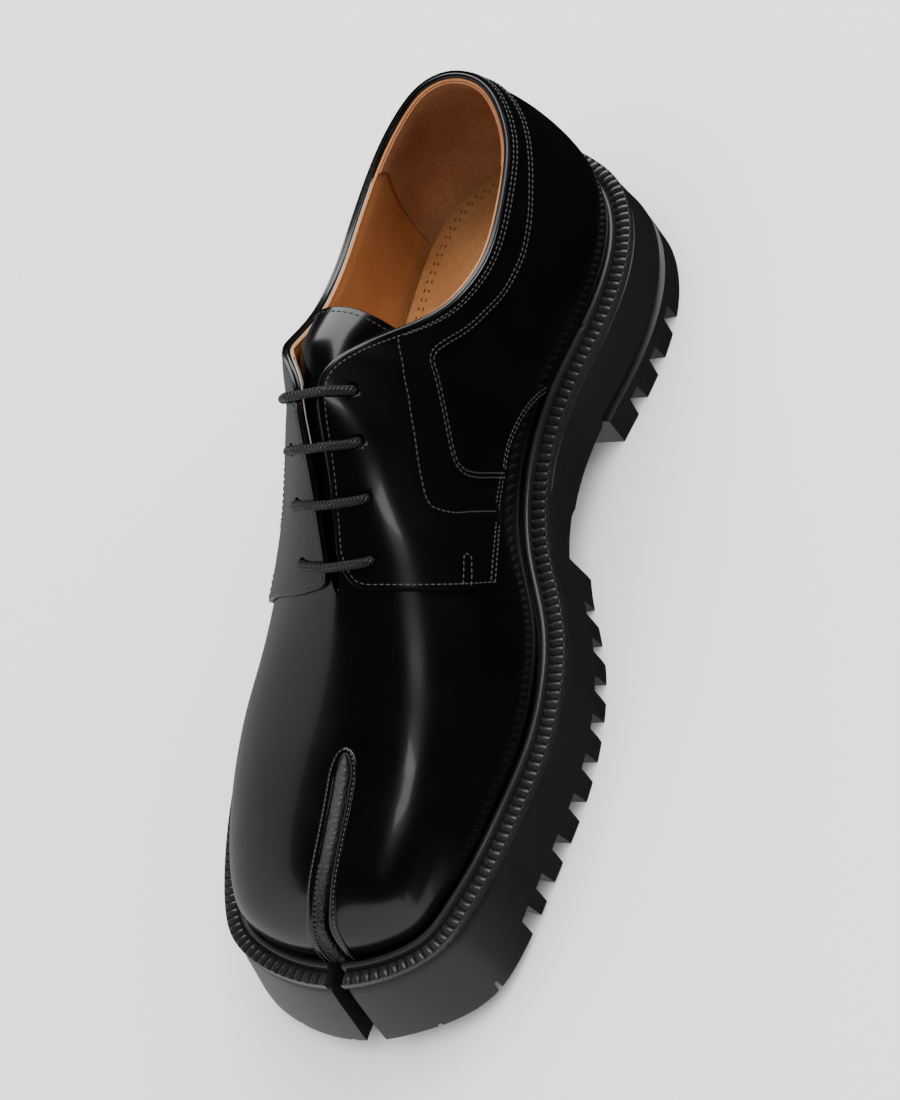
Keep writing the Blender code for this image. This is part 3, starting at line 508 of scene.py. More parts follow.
def swept(name, path, up, section):
    """Closed section carried along a path; its columns lie across the path and along its up direction."""
    ahead = unit(np.gradient(path, axis=0))
    across = unit(np.cross(ahead, up))
    up = np.cross(across, ahead)
    loop = np.vstack([section, section[:1]])
    points = path[:, None] + across[:, None] * loop[None, :, :1] + up[:, None] * loop[None, :, 1:]
    item = shaped_grid(name, points)
    weld(item, FINE_WELD)
    close_ends(item)
    return item


def ellipse(wide, high, count):
    turn = np.linspace(0, 2 * math.pi, count, endpoint=False)
    return np.stack([wide * np.cos(turn), high * np.sin(turn)], 1)


def finished(item, angle, material, slot, *nodes):
    """Gives a piece its shading and finish, hangs it on the part's body and lets it stand for its solids."""
    shade(item, angle)
    item.data.materials.clear()
    item.data.materials.append(material)
    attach(item, "root")
    if nodes:
        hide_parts(*nodes)


# form of the last, the same as the part's


def foot_line(side):
    """Line where the upper meets the welt, from the toe split to the heel, as points and length shares."""
    medial, lateral = inset_halves(FEATHER_INSET)
    line, other = (medial, lateral) if side > 0 else (lateral, medial)
    edge = float(middle(SOLE_LENGTH - FEATHER_INSET)) + side * SPLIT_HALF
    line = np.vstack([other[20:0:-1], line])
    line = line[((line[:, 0] - edge) * side > 0.05) | (line[:, 1] < SOLE_LENGTH / 2)]
    length = run_along(line)
    return line, length / length[-1]


FOOT_LINES = {side: foot_line(side) for side in (1, -1)}


def rib_rows(side):
    """Ribs of one side with their share along the foot line in front."""
    line, share = FOOT_LINES[side]
    ribs = MEDIAL_RIBS if side > 0 else LATERAL_RIBS
    shares = [0.0] + [float(np.interp(-row[0], -line[:, 1], share)) for row in ribs[1:-1]] + [1.0]
    return [(start,) + row[1:] for start, row in zip(shares, ribs)]


RIBS = {side: rib_rows(side) for side in (1, -1)}
RIB_SHARES = {side: [row[0] for row in rows] for side, rows in RIBS.items()}


def same_place(side, share):
    """Share on this side for a share measured on the medial side."""
    return np.interp(share, RIB_SHARES[1], RIB_SHARES[side])


def throat_half(station):
    return THROAT_HALF + np.clip((THROAT_GAIN_FROM - station) / THROAT_GAIN_RUN, 0, 2) * THROAT_GAIN


def opening_half(station):
    """Half width of the toe split and of the throat at a station."""
    split = SPLIT_HALF * np.sqrt(np.clip((station - SPLIT_END) / SPLIT_RUNOUT, 0, 1))
    throat = throat_half(station) * np.sqrt(np.clip((THROAT - station) / THROAT_RUNOUT, 0, 1))
    return np.where(station > SPLIT_END, split, throat)


def soft_half(station):
    """Half width that the leather follows below the edges of the openings, without their sharp ends."""
    split = SPLIT_HALF * ease((station - SOFT_SPLIT[0]) / (SOFT_SPLIT[1] - SOFT_SPLIT[0]))
    throat = throat_half(station) * ease((SOFT_THROAT[0] - station) / (SOFT_THROAT[0] - SOFT_THROAT[1]))
    return np.where(station > VAMP_MIDDLE, split, throat)


def past_corner(side, share):
    """From 0 at the throat edge to 1 at the topline."""
    return ease((share - RIB_SHARES[side][CORNER_RIB] + CORNER_FADE) / (2 * CORNER_FADE))


def top_edge(side, share):
    """Top end of each rib: split edge, middle line, throat edge, topline."""
    rows = RIBS[side]
    station = smooth(rows, TOP_STATION, share, True)
    height = smooth(rows, TOP_HEIGHT, share, True)
    blend = past_corner(side, share)
    half = opening_half(station) * (1 - blend) + smooth(rows, TOP_HALF, share) * blend
    return np.stack([middle(station) + side * half, station, height], -1)


def around(function, side, share, step):
    """A function of the share a little way before and after each share."""
    return function(side, np.clip(share - step, 0, 1)), function(side, np.clip(share + step, 0, 1))


def foot_point(side, share):
    line, along = FOOT_LINES[side]
    return take(line, along, share)


def upper_point(side, share, rise):
    """Outer face of the upper: share runs from the toe split to the heel, rise from the welt to the top."""
    share, rise = np.broadcast_arrays(np.asarray(share, float), np.asarray(rise, float))
    foot, top = foot_point(side, share), top_edge(side, share)
    wall, bulge, slant = (smooth(RIBS[side], column, share) for column in (WALL_SHARE, BULGE, SLANT))
    before, after = around(foot_point, side, share, 0.006)
    ahead = unit(after - before)
    heel_fade = np.clip((1 - share) / 0.02, 0, 1)
    outward = np.stack([-ahead[..., 1] * heel_fade, ahead[..., 0]], -1) * side
    fore, aft = around(top_edge, side, share, 0.01)
    run = aft[..., 1] - fore[..., 1]
    slope = (aft[..., 2] - fore[..., 2]) / np.where(np.abs(run) < 0.2, -0.2, run)
    slope = np.clip(slope, -1.0, 0.0) * np.clip(1.0 - wall * 2.2, 0, 1)
    turn = rise * math.pi / 2
    inward = (1 - wall) * (1 - np.abs(np.cos(turn)) ** slant) + wall * rise ** 1.8
    upward = (1 - wall) * np.sin(turn) ** slant + wall * rise
    push = bulge * np.sin(math.pi * np.clip(rise, 0, 1) ** 0.8)
    opened = side * (opening_half(top[..., 1]) - soft_half(top[..., 1])) * (1 - past_corner(side, share))
    soft = top[..., :2] - np.stack([opened, np.zeros_like(opened)], -1)
    flat = foot + (soft - foot) * inward[..., None] + outward * push[..., None]
    flat[..., 0] += opened * rise ** 9
    start = welt_top(foot[..., 1]) + GAP - 0.3
    height = start + (top[..., 2] - start) * upward + slope * (flat[..., 1] - top[..., 1]) * upward ** 2
    return np.concatenate([flat, height[..., None]], -1)


def upper_normal(side, share, rise):
    step = 0.004
    share, rise = np.broadcast_arrays(np.asarray(share, float), np.asarray(rise, float))
    fore, aft = (upper_point(side, np.clip(share + way, 0, 1), rise) for way in (-step, step))
    low, high = (upper_point(side, share, np.clip(rise + way, 0, 1)) for way in (-step, step))
    return unit(np.cross(high - low, aft - fore) * side)


def on_upper(side, share, rise, lift):
    return upper_point(side, share, rise) + np.asarray(lift)[..., None] * upper_normal(side, share, rise)


def rise_below_edge(side, share, depth):
    """Rise of the point that lies a depth in millimetres down the rib from its top edge."""
    rises = np.linspace(1, 0.3, 300)
    return float(np.interp(depth, run_along(upper_point(side, share, rises)), rises))


def row_below_edge(side, shares, depth):
    """Shares and rises of a line that keeps one depth below the top edge."""
    return [(share, rise_below_edge(side, float(same_place(side, share)), depth)) for share in shares]


def skived(rise):
    """Layers are thinned towards the topline, where they are folded over."""
    return 1 - 0.45 * ease((np.asarray(rise) - 0.90) / 0.10)


def side_grid(name, side, share, rise, lift):
    points = on_upper(side, share, rise, lift)
    return shaped_grid(name, points[::-1] if side > 0 else points)


# finishes


def linear(code):
    """Linear colour from an sRGB hex code."""
    channels = [int(code[i:i + 2], 16) / 255 for i in (1, 3, 5)]
    return tuple(c / 12.92 if c <= 0.04045 else ((c + 0.055) / 1.055) ** 2.4 for c in channels) + (1.0,)


def node(tree, kind, inputs=None, **settings):
    """One node with its settings; an input is a value or another node's output."""
    made = tree.nodes.new(kind)
    for key, value in settings.items():
        setattr(made, key, value)
    for key, value in (inputs or {}).items():
        if isinstance(value, bpy.types.NodeSocket):
            tree.links.new(value, made.inputs[key])
        else:
            made.inputs[key].default_value = value
    return made


def new_finish(name, **sockets):
    """Material with its node tree and its shader, constants set on the shader's own sockets."""
    material = bpy.data.materials.new(name)
    material.use_nodes = True
    tree = material.node_tree
    shader = tree.nodes["Principled BSDF"]
    for key, value in sockets.items():
        shader.inputs[key.replace("_", " ").title().replace("Ior", "IOR")].default_value = value
    return material, tree, shader


def own_place(tree):
    """Coordinates of the object itself, in metres."""
    return node(tree, "ShaderNodeTexCoord").outputs["Object"]


def noise(tree, where, size, detail=2.0):
    """Cloudy pattern with features of this size in millimetres, on coordinates in metres."""
    settings = {"Vector": where, "Scale": 1000.0 / size, "Detail": detail}
    return node(tree, "ShaderNodeTexNoise", settings).outputs["Fac"]


def two_tone(tree, value, dark, light, start=0.0, end=1.0):
    """Colour from one dye to the other as a pattern's value goes from start to end."""
    ramp = node(tree, "ShaderNodeValToRGB", {"Fac": value})
    for element, position, code in zip(ramp.color_ramp.elements, (start, end), (dark, light)):
        element.position = position
        element.color = linear(code)
    return ramp.outputs["Color"]


def gloss(tree, value, low, high):
    """Roughness that follows a pattern."""
    return node(tree, "ShaderNodeMapRange", {"Value": value, "To Min": low, "To Max": high}).outputs["Result"]


def relief(tree, height, strength, distance, over=None):
    """Surface relief of a pattern, its depth in metres, on top of another relief."""
    inputs = {"Height": height, "Strength": strength, "Distance": distance}
    if over:
        inputs["Normal"] = over
    return node(tree, "ShaderNodeBump", inputs).outputs["Normal"]


def along_shoe(tree, where, start, end, first, last):
    """Value that goes from first to last between two places along the shoe, in metres from its middle."""
    split = node(tree, "ShaderNodeSeparateXYZ", {"Vector": where})
    inputs = {"Value": split.outputs["Y"], "From Min": start, "From Max": end,
              "To Min": first, "To Max": last}
    return node(tree, "ShaderNodeMapRange", inputs).outputs["Result"]


def feed(tree, shader, **sockets):
    for key, output in sockets.items():
        tree.links.new(output, shader.inputs[key.replace("_", " ").title()])


def polished_leather():
    """Brush-off calf, waxed and polished: nearly black, sharp soft-edged reflections, fine pores."""
    material, tree, shader = new_finish("polished_calf_leather", roughness=0.2, coat_weight=0.2,
                                        coat_roughness=0.05, coat_ior=1.5, ior=1.5)
    where = own_place(tree)
    pores, waves = noise(tree, where, 0.55, 3.0), noise(tree, where, 16.0, 1.0)
    grain = relief(tree, pores, 0.04, 0.00006)
    feed(tree, shader, base_color=two_tone(tree, waves, "#020203", "#060607"),
         roughness=gloss(tree, waves, 0.19, 0.27), normal=relief(tree, waves, 0.2, 0.0003, grain))
    return material


def soft_leather():
    """Glove-soft black kid in the split: visible grain, a dull sheen, and painted light and shade: lighter at
    the split's inner end, darker towards the toe.
    """
    material, tree, shader = new_finish("soft_kid_leather", ior=1.5)
    where = own_place(tree)
    # painted light and shade: dark at the toe, lighter towards the split's inner end
    toe = along_shoe(tree, where, -0.136, -0.112, 0.0, 1.0)
    cells = node(tree, "ShaderNodeTexVoronoi", {"Vector": where, "Scale": 1000.0 / 1.1}, feature="F1")
    feed(tree, shader, base_color=two_tone(tree, toe, "#0a0a0b", "#303031"),
         roughness=gloss(tree, cells.outputs["Distance"], 0.28, 0.5),
         normal=relief(tree, cells.outputs["Distance"], 0.8, 0.0005))
    return material


def moulded_rubber(name, dark, light, low, high):
    """Moulded black rubber: satin with a fine mould grain and slightly uneven gloss."""
    material, tree, shader = new_finish(name, ior=1.46)
    where = own_place(tree)
    fine, cloudy = noise(tree, where, 0.8), noise(tree, where, 24.0, 3.0)
    feed(tree, shader, base_color=two_tone(tree, cloudy, dark, light),
         roughness=gloss(tree, cloudy, low, high), normal=relief(tree, fine, 0.2, 0.00012))
    return material


def tan_leather(name, dark, light, low, high, pore, depth, heel=1.0):
    """Vegetable-tanned lining leather: warm tan, cloudy dye, low gloss, and painted shade that darkens it
    towards the heel by the last argument's factor.
    """
    material, tree, shader = new_finish(name, ior=1.45)
    where = own_place(tree)
    cloudy, pores = noise(tree, where, 22.0, 4.0), noise(tree, where, pore, 3.0)
    mixed = node(tree, "ShaderNodeMath", {0: cloudy, 1: pores}, operation="MULTIPLY").outputs["Value"]
    tint = two_tone(tree, mixed, dark, light, 0.12, 0.42)
    # painted shade: the colour is scaled down towards the heel, to the factor given last
    strength = along_shoe(tree, where, 0.062, 0.118, 1.0, heel)
    shaded_tint = node(tree, "ShaderNodeVectorMath", {0: tint, "Scale": strength}, operation="SCALE")
    feed(tree, shader, base_color=shaded_tint.outputs["Vector"], roughness=gloss(tree, cloudy, low, high),
         normal=relief(tree, pores, 0.4, depth))
    return material


def waxed_cord():
    """Round braided cotton, waxed black: a fine slanting braid with dull wax highlights."""
    material, tree, shader = new_finish("waxed_braid", base_color=linear("#121213"), ior=1.5)
    where = node(tree, "ShaderNodeUVMap").outputs["UV"]
    strands = []
    for turn in (35, -35):
        lay = node(tree, "ShaderNodeMapping", {"Vector": where, "Rotation": (0, 0, math.radians(turn)),
                                               "Scale": (8.8, 36.0, 1.0)})
        wave = node(tree, "ShaderNodeTexWave", {"Vector": lay.outputs["Vector"], "Scale": 0.32},
                    wave_type="BANDS", bands_direction="Y")
        strands.append(wave.outputs["Fac"])
    braid = node(tree, "ShaderNodeMath", dict(enumerate(strands)), operation="MAXIMUM").outputs["Value"]
    feed(tree, shader, roughness=gloss(tree, braid, 0.45, 0.22), normal=relief(tree, braid, 0.9, 0.0005))
    return material


def thread(name, code, roughness):
    """Twisted polyester sewing thread: a slight gloss along its ply."""
    material, tree, shader = new_finish(name, base_color=linear(code), ior=1.5)
    where = own_place(tree)
    ply = noise(tree, where, 0.35)
    feed(tree, shader, roughness=gloss(tree, ply, roughness - 0.1, roughness + 0.1))
    return material


def studio_paper():
    """Matt white backdrop paper."""
    material, tree, shader = new_finish("studio_paper", base_color=linear("#f4f4f3"), roughness=0.9)
    where = own_place(tree)
    feed(tree, shader, normal=relief(tree, noise(tree, where, 3.0), 0.05, 0.0005))
    return material


CALF = polished_leather()
KID = soft_leather()
RUBBER = moulded_rubber("moulded_rubber", "#121213", "#191919", 0.3, 0.42)
WELTING = moulded_rubber("satin_welting", "#1b1b1c", "#242425", 0.2, 0.3)
# the lining and the sock carry painted shade towards the heel, set by their last number
LINING = tan_leather("tan_lining_leather", "#a5683a", "#c08354", 0.42, 0.56, 0.9, 0.0001, 0.6)
SUEDE = tan_leather("tan_suede", "#7d4f34", "#a46f4c", 0.85, 0.95, 0.7, 0.0006)
SOCK = tan_leather("tan_sock_leather", "#b8794a", "#d09a66", 0.40, 0.52, 0.9, 0.0001, 0.36)
# the lining's real edge, coloured pale as a painted highlight on its fold
LINING_EDGE_HIGHLIGHT = tan_leather("lining_edge_painted_highlight", "#9c8e7e", "#b3a696", 0.3, 0.4, 0.9, 0.00005)
CORD = waxed_cord()
# black thread coloured dark grey as a painted sheen
THREAD_BLACK_SHEEN = thread("waxed_black_thread_painted_sheen", "#3a3a3c", 0.42)
THREAD_TAN = thread("brown_thread", "#5a2f14", 0.6)
THREAD_PALE = thread("pale_tan_thread", "#c8a274", 0.5)

# upper: vamp, quarters, back panel, lining


def vamp_shares():
    """Shares of the vamp's columns, closer together at the ends of the split and the throat."""
    end, throat = RIB_SHARES[1][SPLIT_RIB], RIB_SHARES[1][THROAT_RIB]
    near = np.r_[np.linspace(-0.03, 0.012, 26), np.linspace(-0.001, 0.001, 3)]
    shares = np.r_[np.linspace(0, 1, 241), end + near, throat - near]
    shares = np.unique(np.round(shares, 5))
    return shares[np.r_[True, np.diff(shares) > 0.0006]]


def crest_weight(offset, station):
    """How much of the vamp's middle is smoothed: most along the middle line between split and throat."""
    side_fade = 1 - abs(offset - float(middle(station))) / 26.0
    end_fade = min(station - THROAT - 1.0, SPLIT_END - 1.0 - station) / 9.0
    return max(0.0, min(1.0, side_fade)) * max(0.0, min(1.0, end_fade))


def make_vamp():
    shares, rises = vamp_shares(), np.linspace(0, 1, 57)
    sheets = {side: upper_point(side, same_place(side, shares)[:, None], rises[None, :]) for side in (1, -1)}
    crest = (sheets[1][:, -1] + sheets[-1][:, -1]) / 2
    fade = np.clip((RIB_SHARES[1][CORNER_RIB] - 0.04 - shares) / 0.06, 0, 1)[:, None]
    half = opening_half(crest[:, 1])[:, None]
    halves = []
    for side, sheet in sheets.items():
        target = crest.copy()
        target[:, :1] = middle(crest[:, 1])[:, None] + side * half
        shift = (target - sheet[:, -1]) * fade
        sheet = sheet + shift[:, None] * (rises ** 6)[None, :, None]
        halves.append(shaped_grid("upper_leather", sheet[::-1] if side > 0 else sheet))
    item = welded("upper_leather", halves, 1.5 * SEAM_WELD)
    smoothed = item.vertex_groups.new(name="crest")
    for vertex in item.data.vertices:
        weight = crest_weight(vertex.co.x * 1000 - AXIS_SHIFT, SOLE_LENGTH / 2 - vertex.co.y * 1000)
        if weight > 0 and vertex.co.z > 0.05:
            smoothed.add([vertex.index], weight, "REPLACE")
    apply_modifier(item, "SMOOTH", factor=0.5, iterations=30, vertex_group="crest")
    item.vertex_groups.clear()
    thicken(item, VAMP_WALL, False)
    finished(item, 50, CALF, "polished_leather", "upper")


def quarter_spots(side, long_count, wide_count):
    """Shares and rises of the quarter's points, from its lower edge to its top edge."""
    rows = np.array(QUARTER_ROWS)
    steps, along = np.linspace(0, 1, len(rows)), np.linspace(0, 1, long_count)
    low_share, low_rise, top_share = (blur(pchip(steps, column, along), 1.6) for column in rows.T)
    across = np.linspace(0, 1, wide_count)
    share = low_share[:, None] + (top_share - low_share)[:, None] * across
    rise = low_rise[:, None] + (1 - low_rise)[:, None] * across
    step, edge_share, edge_rise = np.array(FRONT_EDGES[side]).T
    fade = np.clip(1 - along / 0.16, 0, 1)[:, None] ** 2
    share = share + fade * (pchip(step, edge_share, across) - share[0])
    rise = rise + fade * (pchip(step, edge_rise, across) - rise[0])
    return same_place(side, share), rise


def hole_spot(side, station):
    """Share and rise of a lace hole, set in from the throat edge."""
    shares = np.linspace(RIB_SHARES[side][THROAT_RIB], RIB_SHARES[side][CORNER_RIB], 400)
    share = float(np.interp(-station, -top_edge(side, shares)[:, 1], shares))
    return share, rise_below_edge(side, share, HOLE_INSET)


def hole_tool(side, station):
    """Round punch standing on the quarter where a lace hole goes."""
    share, rise = hole_spot(side, station)
    item = primitive(bpy.ops.mesh.primitive_cylinder_add, vertices=20, radius=HOLE_RADIUS / 1000, depth=0.006)
    turn = Vector(turned(upper_normal(side, share, rise))).to_track_quat("Z", "Y").to_matrix().to_4x4()
    item.data.transform(Matrix.Translation(Vector(place(on_upper(side, share, rise, 1.0))[0])) @ turn)
    return item


def make_quarter(name, side):
    share, rise = quarter_spots(side, 230, 26)
    item = side_grid(name, side, share, rise, OVERLAY_LIFT)
    thicken(item, OVERLAY_WALL, True)
    cut(item, [hole_tool(side, station) for station in LACE_STATIONS])
    round_edges(item, 0.4)
    finished(item, 40, CALF, "polished_leather", name)


def make_counter(name, side):
    rises = np.linspace(0.02, 0.9, 60)
    rise, start = np.array(COUNTER_ROWS).T
    front = blur(pchip(rise, start, rises), 1.0)[None, :]
    along = np.linspace(0, 1, 110)[:, None] ** 1.15
    share = same_place(side, front + (1.0 - front) * along)
    item = side_grid(name, side, share, np.broadcast_to(rises, share.shape), COUNTER_LIFT)
    thicken(item, COUNTER_WALL, True)
    round_edges(item, 0.22)
    finished(item, 40, CALF, "polished_leather")


def make_lining():
    halves = []
    for side in (1, -1):
        shares = np.linspace(LINING_FRONT, 1.0, 160)[:, None]
        top = 0.80 + 0.20 * ease((shares - LINING_STARTS[side]) / 0.07)
        rises = np.linspace(0.0, 1.0, 40)[None, :] * top
        halves.append(side_grid("lining", side, same_place(side, shares), rises, LINING_LIFT * skived(rises)))
    item = welded("lining", halves, SEAM_WELD)
    thicken(item, LINING_WALL, False)
    finished(item, 50, LINING, "lining")


def make_heel_grip():
    halves = []
    rises = np.linspace(0.02, 0.999, 40)
    start = (GRIP_FRONT - 0.014 * np.clip((rises - 0.85) / 0.15, 0, 1) ** 2)[None, :]
    along = np.linspace(0, 1, 50)[:, None]
    lift = GRIP_LIFT * skived(rises[None, :]) ** 0.5
    for side in (1, -1):
        share = same_place(side, start + (1 - start) * along)
        halves.append(side_grid("heel_grip", side, share, np.broadcast_to(rises, share.shape), lift))
    item = welded("heel_grip", halves, SEAM_WELD)
    thicken(item, GRIP_WALL, False)
    round_edges(item, 0.15)
    finished(item, 50, SUEDE, "lining")


# first and last point of the lining's pale edge, a painted highlight, along the topline's path, and how many
# points it takes to come up
PALE_EDGE = (350, 528)
PALE_START = 24


def make_topline_fold():
    """Folded edge of the quarters, down both facings and round the collar, with the lining's edge coloured
    pale as a painted highlight.
    """
    lines = {}
    for side in (1, -1):
        first = FRONT_EDGES[side][-1][1] - 0.004
        shares = same_place(side, np.r_[np.linspace(first, 0.60, 120), np.linspace(0.602, 1.0, 170)])
        lines[side] = on_upper(side, shares, 1.0, 0.1), upper_normal(side, shares, 1.0)
    path, up = (np.vstack([medial, lateral[::-1][1:]]) for medial, lateral in zip(lines[1], lines[-1]))
    path, up = blur(path, 3), unit(blur(up, 6))
    finished(swept("topline_fold", path, up, ellipse(0.6, 0.85, 16)), 60, CALF, "polished_leather")
    path, up = path[slice(*PALE_EDGE)], up[slice(*PALE_EDGE)]
    depth = 0.1 + 0.9 * ease(np.arange(len(path)) / PALE_START)
    edge = swept("lining_edge", path - up * depth[:, None], up, ellipse(0.2, 0.24, 12))
    finished(edge, 60, LINING_EDGE_HIGHLIGHT, "lining")


# tongue, sock, split

# rows of the tongue's free end: share past the throat's corner, height of the crown
TONGUE_END = [(0.025, 121.0), (0.05, 120.0), (0.07, 118.4)]


def finer(table, count):
    """More points along the first axis of a table of points, on a smooth curve through them."""
    steps = np.arange(len(table), dtype=float)
    where = np.linspace(0, len(table) - 1, count)
    flat = table.reshape(len(table), -1)
    out = np.stack([pchip(steps, column, where) for column in flat.T], 1)
    return blur(out.reshape((count,) + table.shape[1:]), 2.0)


def make_tongue():
    """Leather leaf under the throat, its sides tucked under the facings, its end arched across the collar."""
    rows = []
    for part in np.linspace(0.02, 0.97, 8):
        halves = []
        for side in (1, -1):
            throat, corner = RIB_SHARES[side][THROAT_RIB], RIB_SHARES[side][CORNER_RIB]
            share = throat + (corner - throat) * part
            halves.append(on_upper(side, share, np.array([0.66, 0.74, 0.82, 0.9, 0.96]), -TONGUE_DEPTH))
        crown = (halves[0][-1] + halves[1][-1]) / 2 + np.array([0, 0, 0.5])
        rows.append(np.vstack([halves[0], crown, halves[1][::-1]]))
    for step, crown_height in TONGUE_END:
        medial, lateral = (on_upper(side, RIB_SHARES[side][CORNER_RIB] + step, np.array([0.66, 0.8, 0.94]),
                                    -TONGUE_DEPTH - 0.6) for side in (1, -1))
        part = np.linspace(0, 1, 7)[1:-1, None]
        arch = medial[-1] + (lateral[-1] - medial[-1]) * part
        rise = 1 - np.abs(2 * part - 1) ** 2.6
        arch[:, 2:] += (crown_height - (medial[-1, 2] + lateral[-1, 2]) / 2) * rise
        rows.append(np.vstack([medial, arch, lateral[::-1]]))
    grid = finer(np.array(rows), 90)
    grid = finer(grid.transpose(1, 0, 2), 70).transpose(1, 0, 2)
    item = shaped_grid("tongue_leaf", grid[:, ::-1])
    thicken(item, TONGUE_WALL, False)
    round_edges(item, 0.6, 60, 3)
    finished(item, 50, CALF, "polished_leather", "tongue")
    return grid


def make_sock():
    shares = 0.5 - 0.5 * np.cos(np.linspace(0, math.pi, 121))
    outer = FEATHER_INSET + WALL + 1.8
    rings = []
    for inset, rise in ((outer, -WELT_THICK), (outer, 5.6), (outer + 0.25, 5.9), (outer + 0.7, SOCK_RISE)):
        flat = ring(inset, shares)
        rings.append(np.column_stack([flat, welt_top(flat[:, 1]) + rise]))
    item = ringed("sock", rings)
    cut(item, [split_tool(*SOCK_SLIT, 0.0, ABOVE)])
    finished(item, 40, SOCK, "lining", "insole")


def split_edge(side):
    """Edge of the vamp along the split from the welt to its inner end, with the leather's normals."""
    rises, shares = np.linspace(0.0, 1, 36), np.linspace(0, RIB_SHARES[side][SPLIT_RIB], 110)[1:]
    path = np.vstack([upper_point(side, 0.0, rises), top_edge(side, shares)])
    return path, np.vstack([upper_normal(side, 0.0, rises), upper_normal(side, shares, 1.0)])


def even_steps(path, up, step):
    length = run_along(path)
    spots = np.linspace(0, length[-1], int(length[-1] / step) + 1)
    return take(path, length, spots), unit(take(up, length, spots))


def split_path():
    """The whole edge of the split: up the lateral side, round the inner end, down the medial side."""
    sides = zip(split_edge(-1), split_edge(1))
    path, up = (np.vstack([lateral, medial[::-1][1:]]) for lateral, medial in sides)
    path, up = even_steps(path, up, 0.5)
    return even_steps(blur(path, 3.0), blur(up, 8.0), 0.5)


# the soft channel across its width: place and width of the dark slit, place of the fold that puffs up
SLIT_PLACE = 0.84
SLIT_WIDE = 0.115
FOLD_PLACE = 0.42


def make_split():
    """Raised rim round the split and the soft channel in it; gives the lines that are stitched."""
    path, up = split_path()
    finished(swept("split_rim", path, up, np.array(RIM_SECTION)), 50, CALF, "polished_leather")
    count, half = 120, len(path) // 2
    spots, steps = np.linspace(0, half, count), np.arange(half + 1)
    left, left_up, right, right_up = (take(table[:half + 1], steps, spots)
                                      for table in (path, up, path[::-1], up[::-1]))
    middle_up = unit(left_up + right_up)
    above = np.linalg.norm(left - left[0], axis=1)
    deep = np.clip(above * 0.5, 1.2, 7.0) * np.clip((np.arange(count)[::-1] + 4) / 14.0, 0, 1)
    across = np.linspace(0, 1, 40)
    slit = np.exp(-(np.abs(across - SLIT_PLACE) / SLIT_WIDE) ** 2.4)
    fold = across / FOLD_PLACE - 1
    puff = 0.75 * fold ** 2 * (fold < 0) + 0.9 * np.clip(fold, 0, 1) ** 2 - 0.35
    points = left[:, None] + (right - left)[:, None] * across[None, :, None]
    points = points - middle_up[:, None] * (deep[:, None] * slit[None, :] + puff[None, :])[..., None]
    channel = shaped_grid("split_channel", points)
    thicken(channel, KID_WALL, False)
    finished(channel, 60, KID, "soft_leather", "split_gusset")
    wall_rows = [(points[:62, column] + middle_up[:62] * 0.12, middle_up[:62]) for column in (3, 8)]
    return path, up, wall_rows


# welt, outsole, heel


def ringed(name, rings):
    """Solid between rings of equal count: walls between them and caps made of strips from side to side."""
    half = len(rings[0]) // 2
    pieces = [shaped_grid(name, np.array([np.vstack([one, one[:1]]) for one in rings]))]
    for one in (rings[0], rings[-1]):
        sides = np.stack([one[:half + 1], np.vstack([one[:1], one[:half - 1:-1]])], 1)
        pieces.append(shaped_grid(name, sides))
    item = welded(name, pieces, FINE_WELD)
    in_edit(item, "SELECT", (bpy.ops.mesh.dissolve_degenerate, {"threshold": 1e-7}))
    face_out(item)
    return item


def plan_tool(plan, low, high):
    """Prism over a plan of stations and offsets; heights are numbers or functions of the station."""
    flat = np.array([(x, y) for y, x in plan], float)
    item = primitive(bpy.ops.mesh.primitive_circle_add, vertices=len(flat), radius=1.0, fill_type="NGON")
    levels = [level(flat[:, 1]) if callable(level) else np.full(len(flat), level) for level in (low, high)]
    ends = [place(np.column_stack([flat, level])) for level in levels]
    move_points(item, ends[0])
    in_edit(item, "SELECT", (bpy.ops.mesh.extrude_region_move, {}))
    move_points(item, np.vstack(ends))
    face_out(item)
    return item


def bar_tool(row, wide, narrow, high, lean=0.0):
    """Cube drawn out to a bar between the two plan points of a row, wider at the floor by its lean."""
    outer, inner = np.array(row[1::-1], float), np.array(row[:1:-1], float)
    along = (inner - outer) / np.linalg.norm(inner - outer)
    across = np.array([-along[1], along[0]])
    item = primitive(bpy.ops.mesh.primitive_cube_add, size=2)
    corners = []
    for vertex in item.data.vertices:
        end, half = (outer, wide / 2) if vertex.co.x < 0 else (inner, narrow / 2)
        level, spread = (-6.0, lean) if vertex.co.z < 0 else (high, 0.0)
        flat = end + across * (half + spread) * (1 if vertex.co.y > 0 else -1)
        corners.append((flat[0], flat[1], level))
    move_points(item, place(corners))
    face_out(item)
    return item


def stud_tool(station, offset, low, high):
    """Eight-sided cylinder pinched to a four-pointed star, narrower at the floor."""
    item = primitive(bpy.ops.mesh.primitive_cylinder_add, vertices=8, radius=1, depth=2)
    corners = []
    for vertex in item.data.vertices:
        turn = math.atan2(vertex.co.y, vertex.co.x)
        step = round(turn / (math.pi / 4)) % 2
        reach = (STUD_OUTER if step == 0 else STUD_INNER) + (0.0 if vertex.co.z < 0 else STUD_FLARE)
        turn += math.radians(STUD_TURN)
        level = low if vertex.co.z < 0 else high
        corners.append((offset + reach * math.cos(turn), station + reach * math.sin(turn), level))
    move_points(item, place(corners))
    face_out(item)
    return item


def split_tool(reach, half, inner_half, low, high):
    """Wedge that opens the toe from beyond its tip to a station."""
    front, tip, inner = SOLE_LENGTH + 12, 1.6, middle(reach) - 1.4
    plan = [(front, tip + half), (reach, inner + inner_half), (reach, inner - inner_half),
            (front, tip - half)]
    return plan_tool(plan, low, high)


def channel_tool(plan, studs):
    """Middle channel of the tread with its studs left standing."""
    channel = plan_tool(plan, BELOW, lambda station: tread_face(station) + CHANNEL_DEPTH)
    cut(channel, [stud_tool(station, offset, -20.0, 40.0) for station, offset in studs])
    return channel


